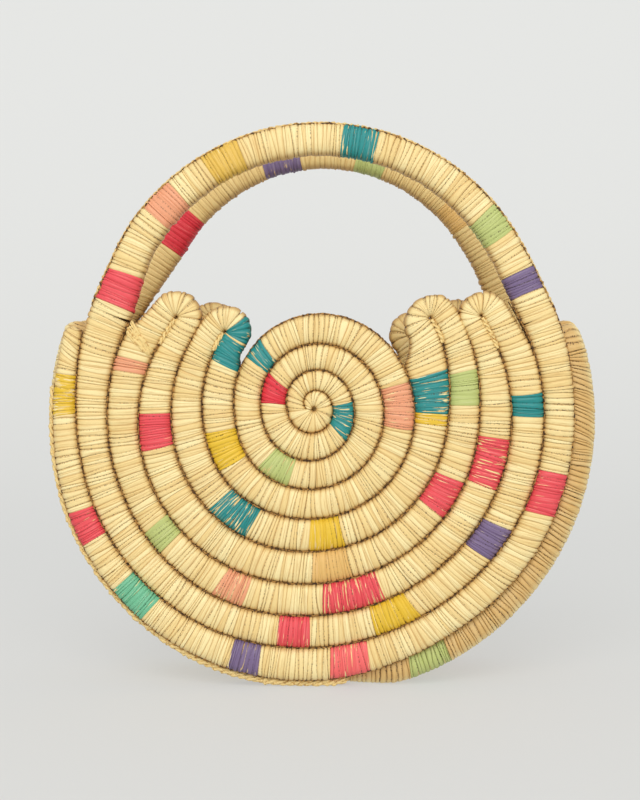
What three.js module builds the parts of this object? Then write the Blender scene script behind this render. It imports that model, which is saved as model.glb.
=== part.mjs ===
// Straw purse: two round panels, each one long coil of wound straw that starts as a disc and runs on as
// nested crescents, a gusset of three coils between them, and two carrying arches.
// Millimetres, +Z up. X runs to the right as seen from the front, and the front panel faces -Y.
// The origin is on the surface that the purse stands on, midway between the panels.
import * as THREE from 'three';

// Driving dimensions
const panel_radius = 135;
const coil_depth = 15.2;
const gusset_pitch = 15.5;
const gusset_thickness = 15.6;
const gusset_proud = 4.5;
const gusset_reach = 52;
const foot_half_length = 38;
const crown_height = 144;
const arch_thickness = 16.2;
const leg_thickness = 18;
const seam_gap = 0.3;

// Places of the spiral's middle against the gusset's, and of the arches, as shares of the panel radius
const SPIRAL_SHIFT = -0.0237;
const SPIRAL_RISE = 0.0413;
const ARCH_SPRING = 0.22;
const CORE_SHARE = 0.0065;
const DISC_DEPTH_SHARE = 0.72;

// Facets
const STEP_DEGREES = 12;
const HAIRPIN_STEPS = 5;
const ARCH_STEPS = 18;
const GUSSET_SIDE_STEPS = 9;
const FLAT_SHARE = 0.414;

// The disc's seam, a spiral that runs clockwise from the left of the middle, as reaches in panel radii
const QUARTER = 90;
const DISC_SEAM = [
  { left: 0.027, top: 0.0685, right: 0.0711, bottom: 0.09, low_left: 0.095 },
  { left: 0.1, top: 0.1444, right: 0.15, bottom: 0.1915, low_left: 0.1975 },
  { left: 0.1975, top: 0.242, right: 0.2605, bottom: 0.2985, low_left: 0.305 },
  { left: 0.2965, top: 0.3535, right: 0.3755, bottom: 0.4085, low_left: 0.423 },
  { left: 0.416, top: 0.46, right: 0.5, bottom: 0.52, low_left: 0.53 },
];

// The seams of the crescents, from the upper left through the bottom to the upper right, in panel radii.
// The first seam is the disc's own, carried on.
const LEFT = 180;
const BOTTOM = 270;
const RIGHT = 360;
const SEAM_ANGLES = [150, LEFT, 210, 240, BOTTOM, 300, 330, RIGHT, 390];
const CRESCENT_SEAMS = [
  [0.522, 0.531, 0.541, 0.543, 0.53, 0.5195, 0.507, 0.5045, 0.541],
  [0.615, 0.6515, 0.668, 0.668, 0.65, 0.638, 0.628, 0.6185, 0.642],
  [0.757, 0.7685, 0.781, 0.789, 0.7685, 0.756, 0.748, 0.736, 0.715],
  [0.921, 0.886, 0.8975, 0.9045, 0.888, 0.869, 0.868, 0.8575, 0.832],
  [0.976, 0.971, 1.001, 1.0185, 1.0115, 0.983, 0.985, 0.972, 0.974],
];

// The horns, where the coil turns back: the seam that each turns round, the angle and reach of the turning
// point, and the coil's width before it, at its tip and after it, in panel radii
const HORNS = [
  { name: 'left_inner', angle: 139, reach: 0.4385, before: 0.092, tip: 0.0955, after: 0.0925 },
  { name: 'right_inner', angle: 398, reach: 0.55, before: 0.106, tip: 0.08, after: 0.1 },
  { name: 'left_outer', angle: 146.3, reach: 0.6156, before: 0.093, tip: 0.0955, after: 0.098 },
  { name: 'right_outer', angle: 389.1, reach: 0.713, before: 0.082, tip: 0.0837, after: 0.104 },
];
const HORN_BLEND = 16;

// The two faces: the arch's half span and middle in panel radii, and how far its horns stand, in degrees
const FACES = [
  { name: 'front', turn: 0, half_span: 0.785, middle: 0.0015, horn_drop: 0 },
  { name: 'back', turn: 180, half_span: 0.735, middle: -0.009, horn_drop: 2.5 },
];
const LEG_LEFT_ANGLE = 155;
const LEG_RIGHT_ANGLE = 382;
const RIM_END_ANGLE = 161;
const RIM_END_TAPER = 0.62;
const RIM_END_DEGREES = 10;

// Worked out from the above
const gusset_radius = panel_radius + gusset_proud;
const foot_angle = THREE.MathUtils.radToDeg(Math.asin(foot_half_length / gusset_radius));
const gusset_middle_height = gusset_radius * Math.cos(THREE.MathUtils.degToRad(foot_angle));
const spiral_x = SPIRAL_SHIFT * panel_radius;
const spiral_z = gusset_middle_height + SPIRAL_RISE * panel_radius;
const gusset_width = 3 * gusset_pitch;
const panel_y = gusset_width / 2 + seam_gap / 2 + coil_depth / 2;

const FINISHES = {
  straw: { color: 0xe4d3a0, roughness: 0.7, metalness: 0 },
  shaded_straw: { color: 0xd9c48c, roughness: 0.74, metalness: 0 },
};

// A smooth curve of values through rows of [at, value]
function smoothValue(rows, at) {
  const last = rows.length - 1;
  let i = 0;
  while (i < last - 1 && at > rows[i + 1][0]) {
    i += 1;
  }
  const before = rows[Math.max(i - 1, 0)];
  const start = rows[i];
  const end = rows[i + 1];
  const after = rows[Math.min(i + 2, last)];
  const span = end[0] - start[0];
  const share = THREE.MathUtils.clamp((at - start[0]) / span, 0, 1);
  const slope_start = (end[1] - before[1]) / (end[0] - before[0]) * span;
  const slope_end = (after[1] - start[1]) / (after[0] - start[0]) * span;
  const square = share * share;
  const cube = square * share;
  return (2 * cube - 3 * square + 1) * start[1] + (cube - 2 * square + share) * slope_start
    + (3 * square - 2 * cube) * end[1] + (cube - square) * slope_end;
}

// A point of a face, from an angle in degrees and a reach in panel radii about the spiral's middle
function facePoint(angle, reach) {
  const radians = THREE.MathUtils.degToRad(angle);
  const radius = reach * panel_radius;
  return new THREE.Vector3(spiral_x + radius * Math.cos(radians), 0, spiral_z + radius * Math.sin(radians));
}

// The disc's seam at a clockwise angle, counted from the left of its first turn
function discSeam(clockwise) {
  const rows = [];
  DISC_SEAM.forEach((turn, index) => {
    const start = index * 4 * QUARTER;
    rows.push([start, turn.left], [start + QUARTER, turn.top]);
    rows.push([start + 2 * QUARTER, turn.right], [start + 3 * QUARTER, turn.bottom]);
    rows.push([start + 3.5 * QUARTER, turn.low_left]);
  });
  return smoothValue(rows, clockwise);
}

// The turning points of the horns on one face
function faceHorns(drop) {
  return HORNS.map((horn) => {
    const side = horn.angle < BOTTOM ? 1 : -1;
    return { ...horn, angle: horn.angle + side * drop };
  });
}

// A crescent seam's reach at an angle; the first is the disc's, and a seam that a horn turns round ends there
function crescentSeam(index, angle, horns) {
  if (index === 0) {
    const turns_to_left = 4 * 4 * QUARTER;
    const reach = discSeam(turns_to_left - (angle - LEFT));
    const pull = blendTo(angle, horns[0].angle);
    return THREE.MathUtils.lerp(reach, horns[0].reach, pull);
  }
  const seam = CRESCENT_SEAMS[index - 1];
  const reach = smoothValue(SEAM_ANGLES.map((place, i) => [place, seam[i]]), angle);
  if (index >= HORNS.length) {
    return reach;
  }
  return THREE.MathUtils.lerp(reach, horns[index].reach, blendTo(angle, horns[index].angle));
}

// 0 away from a horn's angle, rising to 1 at it
function blendTo(angle, horn_angle) {
  return THREE.MathUtils.smoothstep(HORN_BLEND - Math.abs(angle - horn_angle), 0, HORN_BLEND);
}

// Angles from one to another, at the whole steps that all rings share
function sharedAngles(from, to) {
  const way = Math.sign(to - from);
  const angles = [from];
  let next = way > 0 ? Math.ceil(from / STEP_DEGREES) : Math.floor(from / STEP_DEGREES);
  while ((to - next * STEP_DEGREES) * way > 0) {
    if (Math.abs(next * STEP_DEGREES - from) > STEP_DEGREES / 4
      && Math.abs(next * STEP_DEGREES - to) > STEP_DEGREES / 4) {
      angles.push(next * STEP_DEGREES);
    }
    next += way;
  }
  angles.push(to);
  return angles;
}

// A station of a coil: its two edges as seen along the way, and its half thickness
function station(left, right, thickness) {
  return { left, right, half: thickness.clone().multiplyScalar(0.5) };
}

// The disc: a spiral from its middle out to the first horn
function discStations(horns) {
  const end = 4 * 4 * QUARTER + LEFT - horns[0].angle;
  return sharedAngles(0, end).map((clockwise) => {
    const angle = LEFT - clockwise;
    const inner_seam = clockwise < 4 * QUARTER ? CORE_SHARE : discSeam(clockwise - 4 * QUARTER);
    const near_horn = blendTo(clockwise, end);
    const inner = THREE.MathUtils.lerp(inner_seam, horns[0].reach - horns[0].before, near_horn);
    const outer = THREE.MathUtils.lerp(discSeam(clockwise), horns[0].reach, near_horn);
    const depth_share = THREE.MathUtils.lerp(DISC_DEPTH_SHARE, 1, Math.min(clockwise / (8 * QUARTER), 1));
    const thickness = new THREE.Vector3(0, coil_depth * depth_share, 0);
    return station(facePoint(angle, outer), facePoint(angle, inner), thickness);
  });
}

// One crescent, between two seams, from one angle to another
function crescentStations(index, from, to, horns) {
  const anticlockwise = to > from;
  const thickness = new THREE.Vector3(0, coil_depth, 0);
  return sharedAngles(from, to).map((angle) => {
    let inner = crescentSeam(index, angle, horns);
    let outer = crescentSeam(index + 1, angle, horns);
    const inner_horn = horns[index];
    const outer_horn = horns[index + 1];
    if (inner_horn) {
      outer = THREE.MathUtils.lerp(outer, inner_horn.reach + inner_horn.after, blendTo(angle, inner_horn.angle));
    }
    if (outer_horn) {
      inner = THREE.MathUtils.lerp(inner, outer_horn.reach - outer_horn.before, blendTo(angle, outer_horn.angle));
    }
    const inner_point = facePoint(angle, inner);
    const outer_point = facePoint(angle, outer);
    return anticlockwise
      ? station(inner_point, outer_point, thickness)
      : station(outer_point, inner_point, thickness);
  });
}

// A horn: the coil fans round its turning point and comes back on the outside
function hornStations(horn, goes_up_clockwise) {
  const pivot = facePoint(horn.angle, horn.reach);
  const outward = facePoint(horn.angle, horn.reach + 1).sub(pivot).normalize();
  const along = new THREE.Vector3(-outward.z, 0, outward.x);
  if (goes_up_clockwise) {
    along.negate();
  }
  const thickness = new THREE.Vector3(0, coil_depth, 0);
  const stations = [];
  for (let i = 1; i < HAIRPIN_STEPS; i += 1) {
    const share = i / HAIRPIN_STEPS;
    const reach = smoothValue([[0, horn.before], [0.5, horn.tip], [1, horn.after]], share) * panel_radius;
    const direction = outward.clone().multiplyScalar(-Math.cos(share * Math.PI));
    direction.addScaledVector(along, Math.sin(share * Math.PI));
    const near = pivot.clone().addScaledVector(direction, seam_gap / 100);
    const far = pivot.clone().addScaledVector(direction, reach);
    stations.push(goes_up_clockwise ? station(near, far, thickness) : station(far, near, thickness));
  }
  return stations;
}

// The closed body of a coil: an eight sided section at every station, capped at both ends
function coilBody(stations) {
  const corners = [
    [1, FLAT_SHARE], [FLAT_SHARE, 1], [-FLAT_SHARE, 1], [-1, FLAT_SHARE],
    [-1, -FLAT_SHARE], [-FLAT_SHARE, -1], [FLAT_SHARE, -1], [1, -FLAT_SHARE],
  ];
  const sides = corners.length;
  const positions = [];
  stations.forEach(({ left, right, half }) => {
    const middle = left.clone().add(right).multiplyScalar(0.5);
    const across = right.clone().sub(left).multiplyScalar(0.5);
    across.setLength(across.length() - seam_gap / 2);
    corners.forEach(([over, up]) => {
      const corner = middle.clone().addScaledVector(across, over).addScaledVector(half, up);
      positions.push(corner.x, corner.y, corner.z);
    });
  });
  const faces = [];
  for (let i = 0; i < stations.length - 1; i += 1) {
    for (let k = 0; k < sides; k += 1) {
      const a = i * sides + k;
      const b = i * sides + (k + 1) % sides;
      faces.push([a, b, b + sides], [a, b + sides, a + sides]);
    }
  }
  const last = (stations.length - 1) * sides;
  for (let k = 1; k < sides - 1; k += 1) {
    faces.push([0, k + 1, k], [last, last + k, last + k + 1]);
  }
  return closedGeometry(positions, faces);
}

// A geometry whose faces point outwards
function closedGeometry(positions, faces) {
  const point = (index) => new THREE.Vector3().fromArray(positions, index * 3);
  let volume = 0;
  faces.forEach(([a, b, c]) => {
    volume += point(a).dot(point(b).cross(point(c)));
  });
  const index = faces.flatMap(([a, b, c]) => (volume > 0 ? [a, b, c] : [a, c, b]));
  const geometry = new THREE.BufferGeometry();
  geometry.setAttribute('position', new THREE.Float32BufferAttribute(positions, 3));
  geometry.setIndex(index);
  geometry.computeVertexNormals();
  return geometry;
}

// The panel's coil: the disc, then the crescents back and forth, up to the left leg of the arch
function panelGeometry(horns) {
  const stations = discStations(horns);
  stations.push(...hornStations(horns[0], true));
  stations.push(...crescentStations(0, horns[0].angle, horns[1].angle, horns));
  stations.push(...hornStations(horns[1], false));
  stations.push(...crescentStations(1, horns[1].angle, horns[2].angle, horns));
  stations.push(...hornStations(horns[2], true));
  stations.push(...crescentStations(2, horns[2].angle, horns[3].angle, horns));
  stations.push(...hornStations(horns[3], false));
  stations.push(...crescentStations(3, horns[3].angle, LEG_LEFT_ANGLE, horns));
  return coilBody(stations);
}

// The middle of a ring between two seams, and the way it runs there
function seatOf(index, angle, horns) {
  const inner = facePoint(angle, crescentSeam(index, angle, horns));
  const outer = facePoint(angle, crescentSeam(index + 1, angle, horns));
  return { inner, outer, middle: inner.clone().add(outer).multiplyScalar(0.5) };
}

// The arch that the coil makes over the mouth, from the left leg's seat to the right leg's
function archGeometry(face, horns) {
  const left = seatOf(3, LEG_LEFT_ANGLE, horns);
  const right = seatOf(4, LEG_RIGHT_ANGLE, horns);
  const spring = spiral_z + ARCH_SPRING * panel_radius;
  const rise = crown_height - ARCH_SPRING * panel_radius - arch_thickness / 2;
  const half_span = face.half_span * panel_radius;
  const middle = face.middle * panel_radius;
  const points = [left.middle];
  for (let angle = 150; angle >= 30; angle -= 15) {
    const radians = THREE.MathUtils.degToRad(angle);
    points.push(new THREE.Vector3(
      middle + half_span * Math.cos(radians), 0, spring + rise * Math.sin(radians)));
  }
  points.push(right.middle);
  const curve = new THREE.CatmullRomCurve3(points, false, 'centripetal');
  const thickness = new THREE.Vector3(0, coil_depth, 0);
  const stations = [];
  for (let i = 0; i <= ARCH_STEPS; i += 1) {
    const share = i / ARCH_STEPS;
    const centre = curve.getPointAt(share);
    const way = curve.getTangentAt(share);
    const across = new THREE.Vector3(-way.z, 0, way.x);
    const width = smoothValue([[0, leg_thickness], [0.5, arch_thickness], [1, leg_thickness]], share);
    stations.push(station(
      centre.clone().addScaledVector(across, width / 2),
      centre.clone().addScaledVector(across, -width / 2),
      thickness));
  }
  const lift = new THREE.Vector3(0, 0, seam_gap);
  stations[0] = station(left.outer.add(lift), left.inner.add(lift), thickness);
  stations[ARCH_STEPS] = station(right.outer.add(lift), right.inner.add(lift), thickness);
  return coilBody(stations);
}

// The last ring, from the right leg under the panel to its narrowed end at the upper left
function rimGeometry(horns) {
  const stations = crescentStations(4, LEG_RIGHT_ANGLE, RIM_END_ANGLE, horns);
  const end = stations[stations.length - 1];
  const tip = facePoint(RIM_END_ANGLE - RIM_END_DEGREES / 4, CRESCENT_SEAMS[4][0]);
  const tail = end.right.clone().lerp(tip, 0.5);
  stations.push(station(tip, tail.lerp(tip, 1 - RIM_END_TAPER), end.half.clone().multiplyScalar(2 * RIM_END_TAPER)));
  return coilBody(stations);
}

// A point of the gusset's middle surface, from an angle and a place across it
function gussetPoint(angle, y) {
  const radians = THREE.MathUtils.degToRad(angle);
  const radius = gusset_radius - gusset_thickness / 2;
  const flat = Math.abs(angle - BOTTOM) <= foot_angle;
  const x = radius * Math.cos(radians);
  const z = flat ? gusset_thickness / 2 : gusset_middle_height + radius * Math.sin(radians);
  return new THREE.Vector3(x, y, z);
}

// The outward half of the gusset's thickness at an angle; it points straight down over the foot
function gussetThickness(angle) {
  const flat = Math.abs(angle - BOTTOM) <= foot_angle + 1e-9;
  const radians = THREE.MathUtils.degToRad(flat ? BOTTOM : angle);
  return new THREE.Vector3(Math.cos(radians), 0, Math.sin(radians)).multiplyScalar(gusset_thickness);
}

// The gusset: three coils round the sides and the bottom, turning back at their tops
function gussetGeometry() {
  const top_rise = Math.asin(gusset_reach / gusset_radius);
  const hairpin_room = gusset_pitch / gusset_radius;
  const high = THREE.MathUtils.radToDeg(top_rise - hairpin_room);
  const ends = [LEFT - high, RIGHT + high];
  const foot = [BOTTOM - foot_angle, BOTTOM + foot_angle];
  const angles = [];
  for (let i = 0; i < GUSSET_SIDE_STEPS; i += 1) {
    angles.push(THREE.MathUtils.lerp(ends[0], foot[0], i / GUSSET_SIDE_STEPS));
  }
  angles.push(foot[0]);
  for (let i = 0; i <= GUSSET_SIDE_STEPS; i += 1) {
    angles.push(THREE.MathUtils.lerp(foot[1], ends[1], i / GUSSET_SIDE_STEPS));
  }
  const stations = [];
  for (let coil = 0; coil < 3; coil += 1) {
    const to_right = coil % 2 === 0;
    const y = (coil - 1) * gusset_pitch;
    const run = to_right ? angles : [...angles].reverse();
    const side = to_right ? 1 : -1;
    const tail_angle = THREE.MathUtils.radToDeg(top_rise);
    const longer = [...run];
    if (coil === 0) {
      longer.unshift(LEFT - tail_angle);
    }
    if (coil === 2) {
      longer.push(RIGHT + tail_angle);
    }
    longer.forEach((angle) => {
      const near = gussetPoint(angle, y + side * gusset_pitch / 2);
      const far = gussetPoint(angle, y - side * gusset_pitch / 2);
      stations.push(station(near, far, gussetThickness(angle)));
    });
    if (coil < 2) {
      stations.push(...gussetHairpin(run[run.length - 1], y, side));
    }
  }
  return coilBody(stations);
}

// One turned back top of the gusset, round the seam between two of its coils
function gussetHairpin(angle, y, side) {
  const stations = [];
  const pivot_y = y + gusset_pitch / 2;
  for (let i = 1; i < HAIRPIN_STEPS; i += 1) {
    const turn = i / HAIRPIN_STEPS * Math.PI;
    const along = side * THREE.MathUtils.radToDeg(Math.sin(turn) * gusset_pitch / gusset_radius);
    const over = -Math.cos(turn) * gusset_pitch;
    const near_along = along * seam_gap / 100;
    const near = gussetPoint(angle + near_along, pivot_y + over * seam_gap / 100);
    const far = gussetPoint(angle + along, pivot_y + over);
    stations.push(side > 0
      ? station(near, far, gussetThickness(angle + along))
      : station(far, near, gussetThickness(angle + along)));
  }
  return stations;
}

function strawMesh(name, geometry, finish) {
  const mesh = new THREE.Mesh(geometry, new THREE.MeshStandardMaterial(finish));
  mesh.name = name;
  return mesh;
}

const purse = new THREE.Group();

FACES.forEach((face) => {
  const horns = faceHorns(face.horn_drop);
  const side = new THREE.Group();
  side.add(strawMesh(`${face.name}_panel`, panelGeometry(horns), FINISHES.straw));
  side.add(strawMesh(`${face.name}_rim`, rimGeometry(horns), FINISHES.straw));
  side.add(strawMesh(`${face.name}_handle`, archGeometry(face, horns), FINISHES.straw));
  side.children.forEach((mesh) => mesh.position.set(0, -panel_y, 0));
  side.rotation.z = THREE.MathUtils.degToRad(face.turn);
  purse.add(side);
});
purse.add(strawMesh('gusset', gussetGeometry(), FINISHES.shaded_straw));

export default purse;
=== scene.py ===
"""A purse of wound straw: two round coiled panels, a coiled gusset and two carrying arches.

Every coil is made as its maker winds it: flat strands laid round a core, one beside the next, with a sewing
strand in the groove between neighbouring turns, its dark colour partly its own and partly painted shade of
the groove.
Lengths are in metres.
"""

import logging
import math
from collections.abc import Callable, Iterable, Sequence
from dataclasses import dataclass, field, replace
from enum import Enum
from typing import Any

import bpy
import numpy as np
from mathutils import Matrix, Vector

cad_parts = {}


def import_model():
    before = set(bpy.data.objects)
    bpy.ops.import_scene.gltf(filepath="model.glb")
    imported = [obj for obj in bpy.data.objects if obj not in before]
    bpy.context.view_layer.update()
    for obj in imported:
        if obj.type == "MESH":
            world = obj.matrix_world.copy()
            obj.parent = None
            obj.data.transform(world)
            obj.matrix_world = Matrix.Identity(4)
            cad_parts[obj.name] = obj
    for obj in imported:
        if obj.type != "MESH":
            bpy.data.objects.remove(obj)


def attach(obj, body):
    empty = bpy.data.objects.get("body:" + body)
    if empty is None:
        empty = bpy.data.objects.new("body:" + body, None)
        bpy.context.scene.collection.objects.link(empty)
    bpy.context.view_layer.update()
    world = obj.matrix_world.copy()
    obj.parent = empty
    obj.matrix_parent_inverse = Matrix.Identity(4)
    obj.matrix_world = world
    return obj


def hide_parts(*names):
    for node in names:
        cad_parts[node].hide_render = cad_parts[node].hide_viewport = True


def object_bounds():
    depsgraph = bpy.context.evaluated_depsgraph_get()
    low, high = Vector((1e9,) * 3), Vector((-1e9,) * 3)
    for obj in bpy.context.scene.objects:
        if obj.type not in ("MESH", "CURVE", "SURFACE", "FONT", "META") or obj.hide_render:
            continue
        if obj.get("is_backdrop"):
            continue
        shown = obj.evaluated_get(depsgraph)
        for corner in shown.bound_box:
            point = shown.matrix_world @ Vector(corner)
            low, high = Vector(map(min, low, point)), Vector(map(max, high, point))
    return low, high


LOG = logging.getLogger("purse")
ROUND_END = 0.006
LEFT, BOTTOM, RIGHT = 180.0, 270.0, 360.0
FULL = 360.0


class Dye(Enum):
    """The colours that the strands are dyed, as the eye sees them in daylight."""

    RED = (0.872, 0.275, 0.305)
    CRIMSON = (0.84, 0.15, 0.21)
    ROSE = (0.92, 0.39, 0.38)
    SALMON = (0.885, 0.60, 0.44)
    YELLOW = (0.87, 0.71, 0.15)
    GOLD = (0.85, 0.69, 0.28)
    TEAL = (0.08, 0.515, 0.505)
    LEAF = (0.705, 0.74, 0.44)
    MINT = (0.415, 0.705, 0.545)
    PURPLE = (0.45, 0.375, 0.515)
    OCHRE = (0.86, 0.69, 0.40)


class Straw(Enum):
    """The undyed strands' tones: the pale and warm ones their own, the gold partly their grain and partly
    painted shade at edges and flanks, the browns painted shade in grooves and seams and the colour of the
    sewing strands and ticks.
    """

    PALE = (0.940, 0.870, 0.640)
    WARM = (0.900, 0.790, 0.530)
    GOLD = (0.740, 0.550, 0.275)
    SEAM_SHADE = (0.480, 0.320, 0.150)
    SHADE_STITCH_AND_TICKS = (0.250, 0.155, 0.070)


def linear(colour: Sequence[float]) -> tuple[float, float, float]:
    """Turns a colour as seen into the light values that shaders use.

    Args:
        colour: Red, green and blue from 0 to 1.

    Returns:
        The same colour in linear light.
    """
    return tuple(c / 12.92 if c <= 0.04045 else ((c + 0.055) / 1.055) ** 2.4 for c in colour)


@dataclass(frozen=True)
class Band:
    """A dyed stretch of one run of a coil.

    Angles are in degrees about the middle of the panel's spiral, anticlockwise from the right.
    """

    run: str
    start: float
    end: float
    dye: Dye
    gaps: float = 0.15


@dataclass
class Track:
    """The way of a coil, as the two edges and the half thickness at closely spaced stations."""

    left: list[np.ndarray] = field(default_factory=list)
    right: list[np.ndarray] = field(default_factory=list)
    half: list[np.ndarray] = field(default_factory=list)
    runs: list[tuple[str, float]] = field(default_factory=list)

    def add(self, left: np.ndarray, right: np.ndarray, half: np.ndarray, run: str, angle: float) -> None:
        """Adds one station.

        Args:
            left: The edge on the left as seen along the way.
            right: The edge on the right.
            half: From the middle to the face, half the coil's thickness.
            run: The name of the stretch of coil that the station belongs to.
            angle: Where the station is on that stretch, in degrees.

        Returns:
            Nothing.
        """
        self.left.append(left)
        self.right.append(right)
        self.half.append(half)
        self.runs.append((run, angle))

    def extend(self, other: "Track") -> "Track":
        """Adds another track's stations and returns this track.

        Args:
            other: The other track.

        Returns:
            This track.
        """
        self.left += other.left
        self.right += other.right
        self.half += other.half
        self.runs += other.runs
        return self

    def turned(self, place: Callable[[np.ndarray], np.ndarray],
               turn: Callable[[np.ndarray], np.ndarray]) -> "Track":
        """Returns the track moved to its place.

        Args:
            place: Moves a point.
            turn: Turns a direction.

        Returns:
            The moved track.
        """
        left = [place(point) for point in self.left]
        right = [place(point) for point in self.right]
        return Track(left, right, [turn(half) for half in self.half], list(self.runs))

    def measured(self) -> "MeasuredTrack":
        """Returns the track as arrays, with the length along it."""
        return MeasuredTrack(np.array(self.left), np.array(self.right), np.array(self.half), self.runs)


@dataclass
class MeasuredTrack:
    """A track as arrays, measured along its middle line."""

    left: np.ndarray
    right: np.ndarray
    half: np.ndarray
    runs: list[tuple[str, float]]

    def __post_init__(self) -> None:
        """Works out the length at each station.

        Returns:
            Nothing.
        """
        middle = (self.left + self.right) / 2
        steps = np.linalg.norm(np.diff(middle, axis=0), axis=1)
        keep = np.concatenate([[True], steps > 1e-7])
        self.left, self.right, self.half = self.left[keep], self.right[keep], self.half[keep]
        self.runs = [run for run, kept in zip(self.runs, keep) if kept]
        middle = (self.left + self.right) / 2
        self.along = np.concatenate([[0], np.cumsum(np.linalg.norm(np.diff(middle, axis=0), axis=1))])
        self.length = float(self.along[-1])

    def value(self, rows: np.ndarray, along: np.ndarray) -> np.ndarray:
        """Returns the rows' values at the given lengths."""
        parts = [np.interp(along, self.along, rows[:, axis]) for axis in range(rows.shape[1])]
        return np.stack(parts, axis=-1)

    def stretch(self, band: Band) -> tuple[float, float] | None:
        """Finds a band on the track.

        Args:
            band: The band.

        Returns:
            The lengths at which it starts and ends, or None where the track has no such run.
        """
        places = [(angle, along) for (run, angle), along in zip(self.runs, self.along) if run == band.run]
        if not places:
            return None
        places.sort()
        angles, lengths = zip(*places)
        ends = np.interp([band.start, band.end], angles, lengths)
        return float(min(ends)), float(max(ends))


def smooth_value(rows: Sequence[tuple[float, float]], at: float) -> float:
    """Reads a smooth curve through rows of (place, value).

    Args:
        rows: The rows, in order of place.
        at: Where to read.

    Returns:
        The value there.
    """
    last = len(rows) - 1
    i = 0
    while i < last - 1 and at > rows[i + 1][0]:
        i += 1
    before, start, end, after = rows[max(i - 1, 0)], rows[i], rows[i + 1], rows[min(i + 2, last)]
    span = end[0] - start[0]
    share = min(max((at - start[0]) / span, 0.0), 1.0)
    slope_start = (end[1] - before[1]) / (end[0] - before[0]) * span
    slope_end = (after[1] - start[1]) / (after[0] - start[0]) * span
    square, cube = share ** 2, share ** 3
    return ((2 * cube - 3 * square + 1) * start[1] + (cube - 2 * square + share) * slope_start
            + (3 * square - 2 * cube) * end[1] + (cube - square) * slope_end)


def mix(start: float, end: float, share: float) -> float:
    """Returns the value at a share of the way from start to end."""
    return start + (end - start) * share


def smooth_step(value: float, low: float, high: float) -> float:
    """Returns 0 below low and 1 above high, with a smooth rise between."""
    share = min(max((value - low) / (high - low), 0.0), 1.0)
    return share * share * (3 - 2 * share)


@dataclass(frozen=True)
class Horn:
    """A place where the coil turns back: its angle, reach and widths, in panel radii."""

    name: str
    angle: float
    reach: float
    before: float
    tip: float
    after: float


@dataclass(frozen=True)
class PursePattern:
    """The sizes of the purse and the shapes of its seams, in panel radii where they follow the panel."""

    panel_radius: float = 0.135
    coil_depth: float = 0.0152
    gusset_pitch: float = 0.0155
    gusset_thickness: float = 0.0156
    gusset_proud: float = 0.0045
    gusset_reach: float = 0.052
    foot_half_length: float = 0.038
    crown_height: float = 0.144
    arch_thickness: float = 0.0162
    leg_thickness: float = 0.018
    seam_gap: float = 0.0003
    spiral_shift: float = -0.0237
    spiral_rise: float = 0.0413
    arch_spring: float = 0.22
    core_share: float = 0.0065
    disc_depth_share: float = 0.72
    leg_left_angle: float = 155.0
    leg_right_angle: float = 382.0
    rim_end_angle: float = 161.0
    horn_blend: float = 16.0
    disc_places: tuple[float, ...] = (0.0, 90.0, 180.0, 270.0, 315.0)
    disc_seam: tuple[tuple[float, ...], ...] = (
        (0.027, 0.0685, 0.0711, 0.09, 0.095),
        (0.1, 0.1444, 0.15, 0.1915, 0.1975),
        (0.1975, 0.242, 0.2605, 0.2985, 0.305),
        (0.2965, 0.3535, 0.3755, 0.4085, 0.423),
        (0.416, 0.46, 0.5, 0.52, 0.53),
    )
    seam_places: tuple[float, ...] = (150.0, 180.0, 210.0, 240.0, 270.0, 300.0, 330.0, 360.0, 390.0)
    crescent_seams: tuple[tuple[float, ...], ...] = (
        (0.522, 0.531, 0.541, 0.543, 0.53, 0.5195, 0.507, 0.5045, 0.541),
        (0.615, 0.6515, 0.668, 0.668, 0.65, 0.638, 0.628, 0.6185, 0.642),
        (0.757, 0.7685, 0.781, 0.789, 0.7685, 0.756, 0.748, 0.736, 0.715),
        (0.921, 0.886, 0.8975, 0.9045, 0.888, 0.869, 0.868, 0.8575, 0.832),
        (0.976, 0.971, 1.001, 1.0185, 1.0115, 0.983, 0.985, 0.972, 0.974),
    )
    horns: tuple[Horn, ...] = (
        Horn("left_inner", 139.0, 0.4385, 0.092, 0.0955, 0.0925),
        Horn("right_inner", 398.0, 0.55, 0.106, 0.08, 0.1),
        Horn("left_outer", 146.3, 0.6156, 0.093, 0.0955, 0.098),
        Horn("right_outer", 389.1, 0.713, 0.082, 0.0837, 0.104),
    )

    @property
    def gusset_radius(self) -> float:
        """The gusset's outer radius."""
        return self.panel_radius + self.gusset_proud

    @property
    def foot_angle(self) -> float:
        """Half the angle that the flat foot spans, in degrees."""
        return math.degrees(math.asin(self.foot_half_length / self.gusset_radius))

    @property
    def gusset_height(self) -> float:
        """The height of the gusset's middle."""
        return self.gusset_radius * math.cos(math.radians(self.foot_angle))

    @property
    def spiral(self) -> tuple[float, float]:
        """The middle of a panel's spiral, across and up."""
        height = self.gusset_height + self.spiral_rise * self.panel_radius
        return self.spiral_shift * self.panel_radius, height

    @property
    def panel_y(self) -> float:
        """How far a panel's middle plane stands from the purse's."""
        return 1.5 * self.gusset_pitch + self.seam_gap / 2 + self.coil_depth / 2

    @property
    def across(self) -> np.ndarray:
        """Half a panel coil's thickness, as a vector."""
        return np.array([0.0, self.coil_depth / 2, 0.0])


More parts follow.
